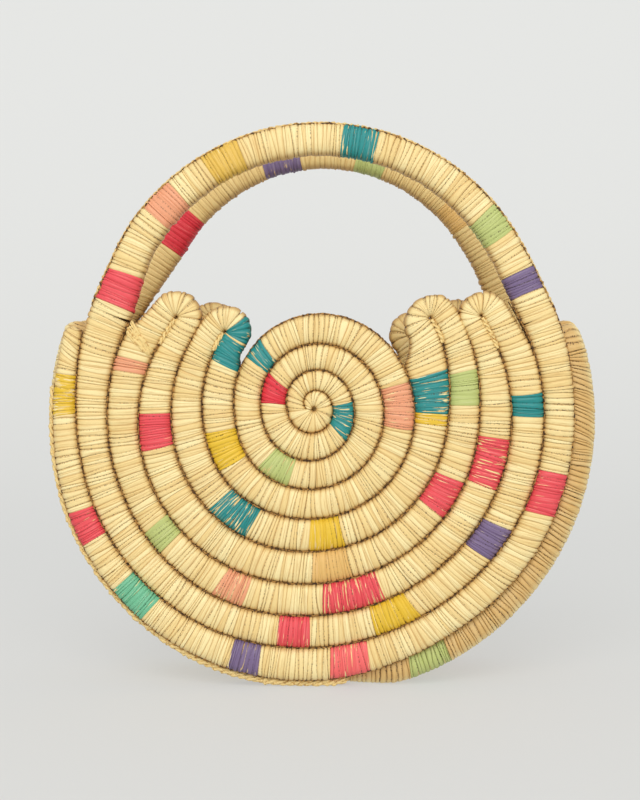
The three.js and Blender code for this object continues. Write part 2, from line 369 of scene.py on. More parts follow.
@dataclass
class Face:
    """One face of the purse: the ways of its panel's coil, its rim and its arch."""

    pattern: PursePattern
    name: str
    turned: bool
    half_span: float
    middle: float
    horn_drop: float
    step: float = 1.5
    hairpin_steps: int = 24
    arch_steps: int = 160
    seat_share: float = 0.12

    def __post_init__(self) -> None:
        """Sets the horns to where they stand on this face."""
        self.horns = [self._dropped(horn) for horn in self.pattern.horns]

    def _dropped(self, horn: Horn) -> Horn:
        """Returns a horn, turned down by this face's drop."""
        side = 1 if horn.angle < BOTTOM else -1
        return replace(horn, angle=horn.angle + side * self.horn_drop)

    def point(self, angle: float, reach: float) -> np.ndarray:
        """Returns a point of the face from its angle in degrees and its reach in panel radii.

        Args:
            angle: Where on the face, in degrees.
            reach: The reach in panel radii.

        Returns:
            The point, on the panel's middle plane.
        """
        spiral_x, spiral_z = self.pattern.spiral
        radius = reach * self.pattern.panel_radius
        turn = math.radians(angle)
        return np.array([spiral_x + radius * math.cos(turn), 0.0, spiral_z + radius * math.sin(turn)])

    def disc_seam(self, clockwise: float) -> float:
        """Returns the disc's seam at a clockwise angle, counted from the left of its first turn.

        Args:
            clockwise: The clockwise angle, in degrees.

        Returns:
            The reach in panel radii.
        """
        rows = [(index * FULL + place, reach) for index, turn in enumerate(self.pattern.disc_seam)
                for place, reach in zip(self.pattern.disc_places, turn)]
        return smooth_value(rows, clockwise)

    def pull(self, angle: float, horn_angle: float) -> float:
        """Returns 0 away from a horn, rising to 1 at it."""
        return smooth_step(self.pattern.horn_blend - abs(angle - horn_angle), 0.0, self.pattern.horn_blend)

    def seam(self, index: int, angle: float) -> float:
        """Returns the reach of a crescent seam at an angle.

        Args:
            index: The seam, counted outwards; the first is the disc's, carried on.
            angle: Where on the face.

        Returns:
            The reach in panel radii.
        """
        if index == 0:
            reach = self.disc_seam(4 * FULL - (angle - LEFT))
        else:
            rows = list(zip(self.pattern.seam_places, self.pattern.crescent_seams[index - 1]))
            reach = smooth_value(rows, angle)
        if index >= len(self.horns):
            return reach
        horn = self.horns[index]
        return mix(reach, horn.reach, self.pull(angle, horn.angle))

    def angles(self, start: float, end: float) -> np.ndarray:
        """Returns closely spaced angles from start to end."""
        count = max(int(abs(end - start) / self.step), 2)
        return np.linspace(start, end, count + 1)

    def disc(self) -> Track:
        """Returns the disc: a spiral from its middle to the first horn.

        Returns:
            The disc's track.
        """
        horn = self.horns[0]
        end = 4 * FULL + LEFT - horn.angle
        track = Track()
        for clockwise in self.angles(0.0, end):
            angle = LEFT - clockwise
            inner = self.pattern.core_share if clockwise < FULL else self.disc_seam(clockwise - FULL)
            near = self.pull(clockwise, end)
            inner = mix(inner, horn.reach - horn.before, near)
            outer = mix(self.disc_seam(clockwise), horn.reach, near)
            share = mix(self.pattern.disc_depth_share, 1.0, min(clockwise / (2 * FULL), 1.0))
            track.add(self.point(angle, outer), self.point(angle, inner), self.pattern.across * share,
                      "disc", clockwise)
        return track

    def crescent(self, index: int, start: float, end: float) -> Track:
        """Returns the coil between two crescent seams.

        Args:
            index: The inner seam.
            start: The angle at which the coil starts.
            end: The angle at which it ends.

        Returns:
            The coil's track.
        """
        track = Track()
        inner_horn = self.horns[index] if index < len(self.horns) else None
        outer_horn = self.horns[index + 1] if index + 1 < len(self.horns) else None
        for angle in self.angles(start, end):
            inner, outer = self.seam(index, angle), self.seam(index + 1, angle)
            if inner_horn:
                outer = mix(outer, inner_horn.reach + inner_horn.after, self.pull(angle, inner_horn.angle))
            if outer_horn:
                inner = mix(inner, outer_horn.reach - outer_horn.before, self.pull(angle, outer_horn.angle))
            edges = [self.point(angle, inner), self.point(angle, outer)]
            left, right = edges if end > start else edges[::-1]
            track.add(left, right, self.pattern.across, f"crescent_{index}", angle)
        return track

    def horn(self, index: int) -> Track:
        """Returns the fan in which the coil turns back at a horn.

        Args:
            index: The horn.

        Returns:
            The fan's track.
        """
        horn = self.horns[index]
        clockwise = index % 2 == 0
        pivot = self.point(horn.angle, horn.reach)
        outward = self.point(horn.angle, horn.reach + 1) - pivot
        outward /= np.linalg.norm(outward)
        along = np.array([-outward[2], 0.0, outward[0]]) * (-1 if clockwise else 1)
        rows = [(0.0, horn.before), (0.5, horn.tip), (1.0, horn.after)]
        track = Track()
        for share in np.linspace(0.0, 1.0, self.hairpin_steps + 1)[1:-1]:
            reach = smooth_value(rows, share) * self.pattern.panel_radius
            way = -math.cos(share * math.pi) * outward + math.sin(share * math.pi) * along
            near, far = pivot + way * self.pattern.seam_gap, pivot + way * reach
            left, right = (near, far) if clockwise else (far, near)
            track.add(left, right, self.pattern.across, f"horn_{horn.name}", share)
        return track

    def panel(self) -> Track:
        """Returns the panel's coil: the disc and the crescents, back and forth, up to the arch.

        Returns:
            The panel's track.
        """
        horns = self.horns
        track = self.disc()
        ends = [horn.angle for horn in horns] + [self.pattern.leg_left_angle]
        for index in range(len(horns)):
            track.extend(self.horn(index)).extend(self.crescent(index, ends[index], ends[index + 1]))
        return track

    def rim(self) -> Track:
        """Returns the last ring, from the arch's right leg to its end at the upper left."""
        return self.crescent(len(self.horns), self.pattern.leg_right_angle, self.pattern.rim_end_angle)

    def arch(self) -> Track:
        """Returns the arch over the mouth, from its left leg to its right.

        Returns:
            The arch's track.
        """
        pattern = self.pattern
        left = self._seat(3, pattern.leg_left_angle)
        right = self._seat(4, pattern.leg_right_angle)
        spring = pattern.spiral[1] + pattern.arch_spring * pattern.panel_radius
        rise = pattern.crown_height - pattern.arch_spring * pattern.panel_radius - pattern.arch_thickness / 2
        points = [left]
        for angle in range(150, 29, -15):
            turn = math.radians(angle)
            x = (self.middle + self.half_span * math.cos(turn)) * pattern.panel_radius
            points.append(np.array([x, 0.0, spring + rise * math.sin(turn)]))
        points.append(right)
        centres = smooth_line(points, self.arch_steps)
        ways = np.gradient(centres, axis=0)
        ways /= np.linalg.norm(ways, axis=1)[:, None]
        track = Track()
        spiral_x, spiral_z = pattern.spiral
        rows = [(0.0, pattern.leg_thickness), (0.5, pattern.arch_thickness), (1.0, pattern.leg_thickness)]
        seats = [self._seat_half(3, pattern.leg_left_angle), self._seat_half(4, pattern.leg_right_angle)]
        last = len(centres) - 1
        for index, (centre, way) in enumerate(zip(centres, ways)):
            width = smooth_value(rows, index / last)
            side = np.array([-way[2], 0.0, way[0]]) * width / 2
            nearer = min(index, last - index)
            seat = seats[0] if index < last / 2 else seats[1]
            side = seat + (side - seat) * smooth_step(nearer / last, 0.0, self.seat_share)
            angle = math.degrees(math.atan2(centre[2] - spiral_z, centre[0] - spiral_x))
            track.add(centre + side, centre - side, pattern.across, "arch", angle)
        return track

    def _seat(self, index: int, angle: float) -> np.ndarray:
        """Returns the middle of the ring between two seams."""
        inner, outer = (self.point(angle, self.seam(seam, angle)) for seam in (index, index + 1))
        return (inner + outer) / 2

    def _seat_half(self, index: int, angle: float) -> np.ndarray:
        """Returns the way from the middle of the ring between two seams to its outer edge."""
        inner, outer = (self.point(angle, self.seam(seam, angle)) for seam in (index, index + 1))
        return (outer - inner) / 2

    def placed(self, track: Track) -> Track:
        """Returns a track of this face where the face stands on the purse.

        Args:
            track: A track of this face.

        Returns:
            The placed track.
        """
        shift = np.array([0.0, -self.pattern.panel_y, 0.0])
        sign = np.array([-1.0, -1.0, 1.0]) if self.turned else np.ones(3)
        return track.turned(lambda point: (point + shift) * sign, lambda way: way * sign)


def smooth_line(points: Sequence[np.ndarray], steps: int) -> np.ndarray:
    """Draws a smooth line through points.

    Args:
        points: The points that it passes.
        steps: How many steps it gets.

    Returns:
        Evenly spaced points on the line.
    """
    chords = [math.sqrt(np.linalg.norm(b - a)) for a, b in zip(points, points[1:])]
    knots = np.concatenate([[0], np.cumsum(chords)])
    fine = np.linspace(0, knots[-1], steps * 6 + 1)
    line = np.stack([
        [smooth_value([(knot, point[axis]) for knot, point in zip(knots, points)], at) for at in fine]
        for axis in range(3)
    ], axis=-1)
    along = np.concatenate([[0], np.cumsum(np.linalg.norm(np.diff(line, axis=0), axis=1))])
    even = np.linspace(0, along[-1], steps + 1)
    return np.stack([np.interp(even, along, line[:, axis]) for axis in range(3)], axis=-1)


@dataclass
class Gusset:
    """The strip of three coils between the panels."""

    pattern: PursePattern
    overlap: float = 0.0098
    flare_start: float = -4.0
    flare_end: float = 18.0
    foot_ease: float = 0.0006
    foot_zone: float = 0.02
    level_share: float = 0.6
    lean_share: float = 1.5
    seam_share: float = 0.60
    seam_steps: int = 260
    step: float = 1.5
    hairpin_steps: int = 24

    def point(self, angle: float, y: float, out: float = 0.0) -> np.ndarray:
        """Returns a point of the gusset's middle surface.

        Args:
            angle: The angle about the gusset's middle, in degrees.
            y: The place across the gusset.
            out: How far the point stands out of the middle surface.

        Returns:
            The point.
        """
        pattern = self.pattern
        radius = pattern.gusset_radius - pattern.gusset_thickness / 2 + out
        turn = math.radians(angle)
        x = radius * math.cos(turn)
        z = pattern.gusset_height + radius * math.sin(turn)
        lowest = pattern.gusset_thickness / 2 - out
        if z - lowest < self.foot_zone:
            z = lowest + self.foot_ease * math.log1p(math.exp((z - lowest) / self.foot_ease))
        return np.array([x, y, z])

    def half(self, angle: float) -> np.ndarray:
        """Returns half the gusset's thickness, pointing out.

        Args:
            angle: Where on the gusset, in degrees.

        Returns:
            The half thickness.
        """
        turn = math.radians(angle)
        foot = math.radians(self.pattern.foot_angle)
        lean = math.remainder(turn - math.radians(BOTTOM), math.tau)
        share = smooth_step(abs(lean), self.level_share * foot, self.lean_share * foot)
        turn = math.radians(BOTTOM) + lean * share
        return np.array([math.cos(turn), 0.0, math.sin(turn)]) * self.pattern.gusset_thickness / 2

    def track(self) -> Track:
        """Returns the gusset's coil: back and forth round the sides and the bottom.

        Returns:
            The gusset's track.
        """
        pattern = self.pattern
        top = math.degrees(math.asin(pattern.gusset_reach / pattern.gusset_radius))
        high = top - math.degrees(pattern.gusset_pitch / pattern.gusset_radius)
        track = Track()
        for coil in range(3):
            side = 1 if coil % 2 == 0 else -1
            ends = [LEFT - (top if coil == 0 else high), RIGHT + (top if coil == 2 else high)]
            start, end = ends[::side]
            for angle in np.linspace(start, end, int(abs(end - start) / self.step) + 1):
                edges = [self.point(angle, self.edge(edge, angle)) for edge in (coil, coil + 1)]
                right, left = edges[::side]
                track.add(left, right, self.half(angle), f"gusset_{coil}", angle)
            if coil < 2:
                track.extend(self._hairpin(end, coil, side))
        return track

    def edge(self, index: int, angle: float) -> float:
        """Returns the place across the gusset of the front edge, a seam or the back edge, from 0 to 3.

        Args:
            index: Which of them, counted from the front.
            angle: Where on the gusset.

        Returns:
            The place across.
        """
        low, high = BOTTOM + self.flare_start, BOTTOM + self.flare_end
        front = self.overlap * smooth_step(angle, low, high)
        back = self.overlap * smooth_step(LEFT + RIGHT - angle, low, high)
        return (index - 1.5) * self.pattern.gusset_pitch + (back * index - front * (3 - index)) / 3

    def seam_lines(self) -> list[np.ndarray]:
        """Returns the lines of the seams between the coils, on the outside and on the inside.

        Returns:
            The lines.
        """
        pattern = self.pattern
        depth = self.seam_share * pattern.gusset_thickness / 2
        lines = []
        for index, start, end in ((1, LEFT - 20, RIGHT + 14), (2, LEFT - 14, RIGHT + 20)):
            angles = np.linspace(start, end, self.seam_steps)
            lines += [np.array([self.point(angle, self.edge(index, angle)) + side * depth * self._out(angle)
                                for angle in angles]) for side in (1, -1)]
        return lines

    def _out(self, angle: float) -> np.ndarray:
        """Returns the direction out of the gusset."""
        half = self.half(angle)
        return half / np.linalg.norm(half)

    def _hairpin(self, angle: float, coil: int, side: int) -> Track:
        """Returns one turned back top, round the seam after a coil.

        Args:
            angle: Where the coil ends.
            coil: The coil, counted from the front.
            side: 1 at the right top, -1 at the left.

        Returns:
            The turned back top's track.
        """
        pattern = self.pattern
        front, pivot, back = (self.edge(coil + step, angle) for step in range(3))
        track = Track()
        run = f"gusset_top_{'right' if side > 0 else 'left'}"
        for share in np.linspace(0.0, 1.0, self.hairpin_steps + 1)[1:-1]:
            turn = share * math.pi
            cosine = math.cos(turn)
            reach = pivot - front if cosine > 0 else back - pivot
            rise = side * math.degrees(math.sin(turn) * pattern.gusset_pitch / pattern.gusset_radius)
            small = pattern.seam_gap / pattern.gusset_pitch
            near = self.point(angle + rise * small, pivot - cosine * reach * small)
            far = self.point(angle + rise, pivot - cosine * reach)
            left, right = (near, far) if side > 0 else (far, near)
            track.add(left, right, self.half(angle + rise), run, share)
        return track


def edit_mesh(piece: bpy.types.Object) -> None:
    """Makes a piece the only one selected and opens it in edit mode with everything selected.

    Args:
        piece: The piece.

    Returns:
        Nothing.
    """
    bpy.ops.object.select_all(action="DESELECT")
    bpy.context.view_layer.objects.active = piece
    piece.select_set(True)
    bpy.ops.object.mode_set(mode="EDIT")
    bpy.ops.mesh.select_all(action="SELECT")


def close_roll(piece: bpy.types.Object, weld: float) -> None:
    """Joins a rolled sheet's edges and ends, and points its faces outwards.

    Args:
        piece: The sheet, already rolled.
        weld: How near two points are to become one.

    Returns:
        Nothing.
    """
    edit_mesh(piece)
    bpy.ops.mesh.remove_doubles(threshold=weld)
    bpy.ops.mesh.normals_make_consistent(inside=False)
    bpy.ops.object.mode_set(mode="OBJECT")
    bpy.ops.object.shade_smooth()


def flat_sheet(name: str, rings: int, sides: int) -> tuple[bpy.types.Object, np.ndarray, np.ndarray]:
    """Adds a flat sheet of cells, to be rolled into a coil.

    Args:
        name: The piece's name.
        rings: How many rows of points it has along the coil.
        sides: How many cells go round the coil.

    Returns:
        The sheet, and each point's row and column.
    """
    bpy.ops.object.select_all(action="DESELECT")
    bpy.ops.mesh.primitive_grid_add(x_subdivisions=rings - 1, y_subdivisions=sides, size=1.0)
    piece = bpy.context.active_object
    piece.name = name
    piece.data.name = name
    count = len(piece.data.vertices)
    flat = np.empty(count * 3)
    piece.data.vertices.foreach_get("co", flat)
    flat = flat.reshape(-1, 3)
    row = np.rint((flat[:, 0] + 0.5) * (rings - 1)).astype(int)
    column = np.rint((flat[:, 1] + 0.5) * sides).astype(int)
    return piece, row, column


@dataclass(frozen=True)
class Slant:
    """A stretch of a run whose strands are laid aslant.

    The lean is how far a strand's end runs ahead at the coil's right edge, on the outer face. Where it is
    round the edges, it is how far the strand runs ahead from one face to the other.
    """

    run: str
    start: float
    end: float
    lean: float
    round_edges: bool = False


@dataclass
class Winding:
    """A coil wound with flat strands."""

    name: str
    track: MeasuredTrack
    bands: Sequence[Band]
    seed: int
    slants: Sequence[Slant] = ()
    sides: int = 18
    strand: float = 0.00215
    strand_spread: float = 0.55
    band_strand: float = 0.0019
    groove: float = 0.00028
    swell: float = 0.00022
    shingle: float = 0.00016
    lobe: float = 0.00022
    squareness: float = 2.9
    lean_spread: float = 0.00042
    bow_spread: float = 0.00036
    slant_ramp: float = 0.012
    round_start: float = 0.0
    round_end: float = 0.0
    # How much warmer and darker the strands are painted, as painted shade
    shade_warmth: float = 0.0

    # Where the rings of one strand lie on it, how high each stands, and how near it is to the strand's edge,
    # which sets the golden painted shade at the edge
    PROFILE = ((0.0, 0.0, 1.0), (0.11, 0.6, 0.30), (0.36, 1.0, 0.0), (0.66, 0.9, 0.12), (0.9, 0.5, 0.55))
    # The dark and edge values carry painted shade: the dark line in each strand's groove and the golden shade
    # at its edges.
    RING_VALUES = ("at", "lift", "lobe", "lean", "bow", "roll", "dark", "tone", "tick", "edge",
                   "red", "green", "blue", "dyed")

    def build(self) -> bpy.types.Object:
        """Builds the coil and returns its piece.

        Returns:
            The piece.
        """
        rng = np.random.default_rng(self.seed)
        starts, dyes, gaps = self._strands(rng)
        rings = self._rings(rng, starts, dyes, gaps)
        piece, row, column = flat_sheet(self.name, len(rings["at"]), self.sides)
        turn = (column % self.sides) / self.sides * math.tau
        piece.data.vertices.foreach_set("co", self._places(rings, row, turn).ravel())
        self._paint(piece, rings, row)
        self._unroll(piece, rings, row, column)
        close_roll(piece, 1e-6)
        return piece

    def _strands(self, rng: np.random.Generator) -> tuple[np.ndarray, list[Dye | None], np.ndarray]:
        """Lays the strands one beside the next.

        Args:
            rng: The source of chance.

        Returns:
            Where each strand starts and the last one ends, its dye, and how broken its dye is.
        """
        stretches = [(*ends, band) for band in self.bands if (ends := self.track.stretch(band))]
        stretches.sort(key=lambda stretch: stretch[0])
        starts, dyes, gaps = [], [], []
        at = 0.0
        while at < self.track.length - 0.2 * self.strand:
            band = next((b for low, high, b in stretches if low <= at + 0.3 * self.band_strand < high), None)
            limits = [edge for low, high, b in stretches for edge in (low, high) if edge > at + 0.0004]
            mean = self.band_strand if band else self.strand
            width = mean * (1 + self.strand_spread * rng.uniform(-1, 1))
            room = min(limits + [self.track.length]) - at
            if room < 1.4 * width:
                width = room if room < 1.1 * mean * (1 + self.strand_spread) else room / 2
            starts.append(at)
            dyes.append(band.dye if band else None)
            gaps.append(band.gaps if band else 0.0)
            at += width
        return np.array([*starts, self.track.length]), dyes, np.array(gaps)

    def _rings(self, rng: np.random.Generator, starts: np.ndarray, dyes: list[Dye | None],
               gaps: np.ndarray) -> dict[str, np.ndarray]:
        """Works out every ring of points along the coil.

        Args:
            rng: The source of chance.
            starts: Where each strand starts, and the end of the last one.
            dyes: Each strand's dye.
            gaps: How broken each strand's dye is.

        Returns:
            The rings' places, heights, leans, marks, painted shade and dyes.
        """
        count = len(dyes)
        widths = np.diff(starts)
        depth = self.groove * np.clip(rng.lognormal(-0.7, 0.8, count), 0.1, 2.2)
        # How dark the painted shade in each strand's groove is
        dark = np.clip(rng.beta(1.1, 1.5, count) * 1.2, 0.05, 1.0)
        tick = (rng.random(count) < 0.36).astype(float)
        # Each strand's tone varies at random; on the back it is raised by painted shade, warmer and darker
        tone = rng.beta(1.8, 1.8, count) + self.shade_warmth
        rise = self.swell * rng.uniform(0.45, 1.55, count)
        tilt = self.shingle * rng.normal(0.7, 0.7, count)
        lobe = self.lobe * rng.normal(0.5, 1.0, count)
        room = 0.38 * np.minimum(np.append(widths, widths[-1]), np.insert(widths, 0, widths[0]))
        sway = 0.5 * self.lean_spread * np.sin(starts / 0.013 + self.seed)
        lean = self._leans(starts, False) + sway
        lean = lean + np.clip(rng.normal(0, self.lean_spread, count + 1), -room, room)
        bow = np.clip(rng.normal(0, self.bow_spread, count + 1), -0.8 * room, 0.8 * room)
        roll = self._leans(starts, True)
        rows = []
        for k in range(count):
            dye = dyes[k]
            colour = (*linear(dye.value), 1.0 - gaps[k]) if dye else (*linear(Straw.WARM.value), 0.0)
            for share, height, edge in self.PROFILE:
                inside = share > 0
                lift = rise[k] * height + tilt[k] * (0.5 - share) * inside - depth[k] * (not inside)
                strength = dark[k] * (0.12 * edge if inside else 1.0)
                ways = [mix(values[k], values[k + 1], share) for values in (lean, bow, roll)]
                rows.append((starts[k] + share * widths[k], lift, lobe[k] * height, *ways,
                             strength, tone[k], tick[k], edge, *colour))
        table = np.array(rows)
        last = table[-1:].copy()
        last[:, 0] = self.track.length
        table = np.concatenate([table[:1], table, last, last])
        rings = {name: table[:, index] for index, name in enumerate(self.RING_VALUES)}
        rings["shrink"] = self._shrink(rings["at"])
        return rings

    def _leans(self, places: np.ndarray, round_edges: bool) -> np.ndarray:
        """Returns the strands' lean at each place along the coil, over its faces or round its edges.

        Args:
            places: The lengths along the coil.
            round_edges: Whether the lean round the edges is wanted.

        Returns:
            The lean at each place.
        """
        lean = np.zeros(len(places))
        for slant in self.slants:
            ends = self.track.stretch(Band(slant.run, slant.start, slant.end, Dye.RED))
            if ends and slant.round_edges == round_edges:
                inside = np.minimum(places - ends[0], ends[1] - places) / self.slant_ramp
                share = np.clip(inside, 0, 1)
                lean += slant.lean * share ** 2 * (3 - 2 * share)
        return lean

    def _shrink(self, places: np.ndarray) -> np.ndarray:
        """Returns how full the coil is at each place: rounded off at a free end, cut square at a joint.

        Args:
            places: The lengths along the coil.

        Returns:
            The fullness at each place.
        """
        shrink = np.ones(len(places))
        for length, gone in ((self.round_start, places), (self.round_end, self.track.length - places)):
            if length:
                rest = np.clip(1 - gone / length, 0, 1)
                shrink *= np.sqrt(1 - rest ** 2)
        shrink[[0, -1]] = 0.0
        return shrink

    def _places(self, rings: dict[str, np.ndarray], row: np.ndarray, turn: np.ndarray) -> np.ndarray:
        """Rolls the sheet round the coil's way.

        Args:
            rings: The rings' values.
            row: Each point's ring.
            turn: Each point's angle round the coil.

        Returns:
            The points' places.
        """
        cosine, sine = np.cos(turn), np.sin(turn)
        power = 2.0 / self.squareness
        over = np.sign(cosine) * np.abs(cosine) ** power
        up = np.sign(sine) * np.abs(sine) ** power
        shift = -rings["lean"][row] * over * np.clip(sine * 3, -1, 1) + rings["bow"][row] * (over ** 2 - 0.4)
        shift += rings["roll"][row] * sine
        shrink = rings["shrink"][row]
        at = np.clip(rings["at"][row] + shift * (shrink > 0), 0, self.track.length)
        left, right = self.track.value(self.track.left, at), self.track.value(self.track.right, at)
        half = self.track.value(self.track.half, at)
        middle, across = (left + right) / 2, (right - left) / 2
        flank = np.abs(over) ** 10
        lift = rings["lift"][row]
        lift = lift * (1 + flank * np.where(lift < 0, 1.6, 0.3)) + rings["lobe"][row] * flank
        lift *= self._crowding(at, over)
        wide = np.linalg.norm(across, axis=1)
        deep = np.linalg.norm(half, axis=1)
        over_share = over * (1 + lift / wide) * shrink
        up_share = up * (1 + lift / deep) * shrink
        return middle + across * over_share[:, None] + half * up_share[:, None]

    def _crowding(self, at: np.ndarray, over: np.ndarray) -> np.ndarray:
        """Returns how much of its relief the winding keeps where the strands crowd at a bend.

        Args:
            at: The lengths along the coil.
            over: The places across it, from -1 to 1.

        Returns:
            The share of the relief that is kept.
        """
        step = 0.0005
        ahead = np.clip(at + step, 0, self.track.length)
        behind = np.clip(at - step, 0, self.track.length)
        speeds = []
        for rows in (self.track.left, self.track.right):
            gone = self.track.value(rows, ahead) - self.track.value(rows, behind)
            speeds.append(np.linalg.norm(gone, axis=1) / np.maximum(ahead - behind, 1e-9))
        speed = speeds[0] * (1 - over) / 2 + speeds[1] * (1 + over) / 2
        return np.clip(speed, 0.12, 1.0)

    def _paint(self, piece: bpy.types.Object, rings: dict[str, np.ndarray], row: np.ndarray) -> None:
        """Keeps each point's dye, marks and painted shade on the mesh.

        Args:
            piece: The rolled sheet.
            rings: The rings' values.
            row: Each point's ring.

        Returns:
            Nothing.
        """
        columns = {"dye": ("red", "green", "blue", "dyed"), "shade_and_marks": ("dark", "tone", "tick", "edge")}
        for name, keys in columns.items():
            values = np.stack([rings[key][row] for key in keys], axis=1)
            attribute = piece.data.attributes.new(name, "FLOAT_COLOR", "POINT")
            attribute.data.foreach_set("color", values.astype(np.float32).ravel())

    def _unroll(self, piece: bpy.types.Object, rings: dict[str, np.ndarray], row: np.ndarray,
                column: np.ndarray) -> None:
        """Gives the coil a map: its length in centimetres one way, one turn round it the other way.

        Args:
            piece: The rolled sheet.
            rings: The rings' values.
            row: Each point's ring.
            column: Each point's column.

        Returns:
            Nothing.
        """
        mesh = piece.data
        corners = np.empty(len(mesh.loops), dtype=np.int32)
        mesh.loops.foreach_get("vertex_index", corners)
        along = rings["at"][row] * 100 + self.seed * 7.3
        places = np.stack([along[corners], column[corners] / self.sides], axis=1)
        mesh.uv_layers.active.data.foreach_set("uv", places.astype(np.float32).ravel())


class Wire:
    """A shader value that takes part in arithmetic."""

    def __init__(self, book: "Book", socket: bpy.types.NodeSocket) -> None:
        """Wraps a socket of a book's tree."""
        self.book = book
        self.socket = socket

    def _math(self, operation: str, first: Any, second: Any = 0.0) -> "Wire":
        """Adds one Math node."""
        node = self.book.node("ShaderNodeMath", {"operation": operation}, {0: first, 1: second})
        return self.book.wire(node)

    def __add__(self, other: Any) -> "Wire":
        """Adds."""
        return self._math("ADD", self, other)

    __radd__ = __add__

    def __sub__(self, other: Any) -> "Wire":
        """Subtracts."""
        return self._math("SUBTRACT", self, other)

    def __rsub__(self, other: Any) -> "Wire":
        """Subtracts from."""
        return self._math("SUBTRACT", other, self)

    def __mul__(self, other: Any) -> "Wire":
        """Multiplies."""
        return self._math("MULTIPLY", self, other)

    __rmul__ = __mul__

    def __abs__(self) -> "Wire":
        """Drops the sign."""
        return self._math("ABSOLUTE", self)

    def cosine(self) -> "Wire":
        """Takes the cosine."""
        return self._math("COSINE", self)

    def larger(self, other: Any) -> "Wire":
        """Takes the larger of two values."""
        return self._math("MAXIMUM", self, other)

    def rising(self, low: float, high: float) -> "Wire":
        """Returns 0 below low and 1 above high, with a smooth rise between.

        Args:
            low: Where the rise starts.
            high: Where it ends.

        Returns:
            The new value.
        """
        settings = {"interpolation_type": "SMOOTHSTEP"}
        node = self.book.node("ShaderNodeMapRange", settings, {0: self, 1: low, 2: high, 3: 0.0, 4: 1.0})
        return self.book.wire(node)


class Book:
    """The nodes of one material."""

    def __init__(self, name: str) -> None:
        """Starts an empty material.

        Args:
            name: The material's name.

        Returns:
            Nothing.
        """
        self.material = bpy.data.materials.new(name)
        self.material.use_nodes = True
        self.tree = self.material.node_tree
        self.tree.nodes.clear()

    def node(self, kind: str, settings: dict[str, Any] | None = None,
             inputs: dict[str | int, Any] | None = None) -> bpy.types.Node:
        """Adds a node.

        Args:
            kind: The node's type.
            settings: Its own settings, set first.
            inputs: The values or wires of its sockets.

        Returns:
            The node.
        """
        node = self.tree.nodes.new(kind)
        for key, value in (settings or {}).items():
            setattr(node, key, value)
        for key, value in (inputs or {}).items():
            if isinstance(value, Wire):
                self.tree.links.new(value.socket, node.inputs[key])
            else:
                node.inputs[key].default_value = value
        return node

    def wire(self, node: bpy.types.Node, output: int | str = 0) -> Wire:
        """Returns one of a node's outputs."""
        return Wire(self, node.outputs[output])

    def blend(self, first: Any, second: Any, share: Any, way: str = "MIX") -> Wire:
        """Mixes two colours.

        Args:
            first: A colour or wire.
            second: A colour or wire.
            share: How much of the second.
            way: The kind of mix.

        Returns:
            The mixed colour.
        """
        settings = {"data_type": "RGBA", "blend_type": way}
        return self.wire(self.node("ShaderNodeMix", settings, {0: share, 6: first, 7: second}), 2)

    def noise(self, place: Wire, scale: float, detail: float = 2.0, roughness: float = 0.5) -> Wire:
        """Returns a cloudy value from 0 to 1."""
        inputs = {"Vector": place, "Scale": scale, "Detail": detail, "Roughness": roughness}
        return self.wire(self.node("ShaderNodeTexNoise", {}, inputs), 0)

    def attribute(self, name: str, output: str = "Color") -> Wire:
        """Reads what the mesh keeps under a name."""
        node = self.node("ShaderNodeAttribute", {"attribute_type": "GEOMETRY", "attribute_name": name})
        return self.wire(node, output)

    def place(self, x: Wire, y: Wire) -> Wire:
        """Joins two values into a place."""
        return self.wire(self.node("ShaderNodeCombineXYZ", {}, {0: x, 1: y}))

    def finish(self, **sockets: Any) -> bpy.types.Material:
        """Adds the surface shader with these sockets and returns the material.

        Args:
            sockets: The shader's values or wires, named as on the shader in small letters.

        Returns:
            The material.
        """
        names = {key.replace("_", " ").title(): value for key, value in sockets.items()}
        shader = self.node("ShaderNodeBsdfPrincipled", {}, names)
        self.node("ShaderNodeOutputMaterial", {}, {"Surface": self.wire(shader)})
        return self.material


def rgba(colour: Enum) -> tuple[float, float, float, float]:
    """Returns a named colour as a shader takes it."""
    return (*linear(colour.value), 1.0)


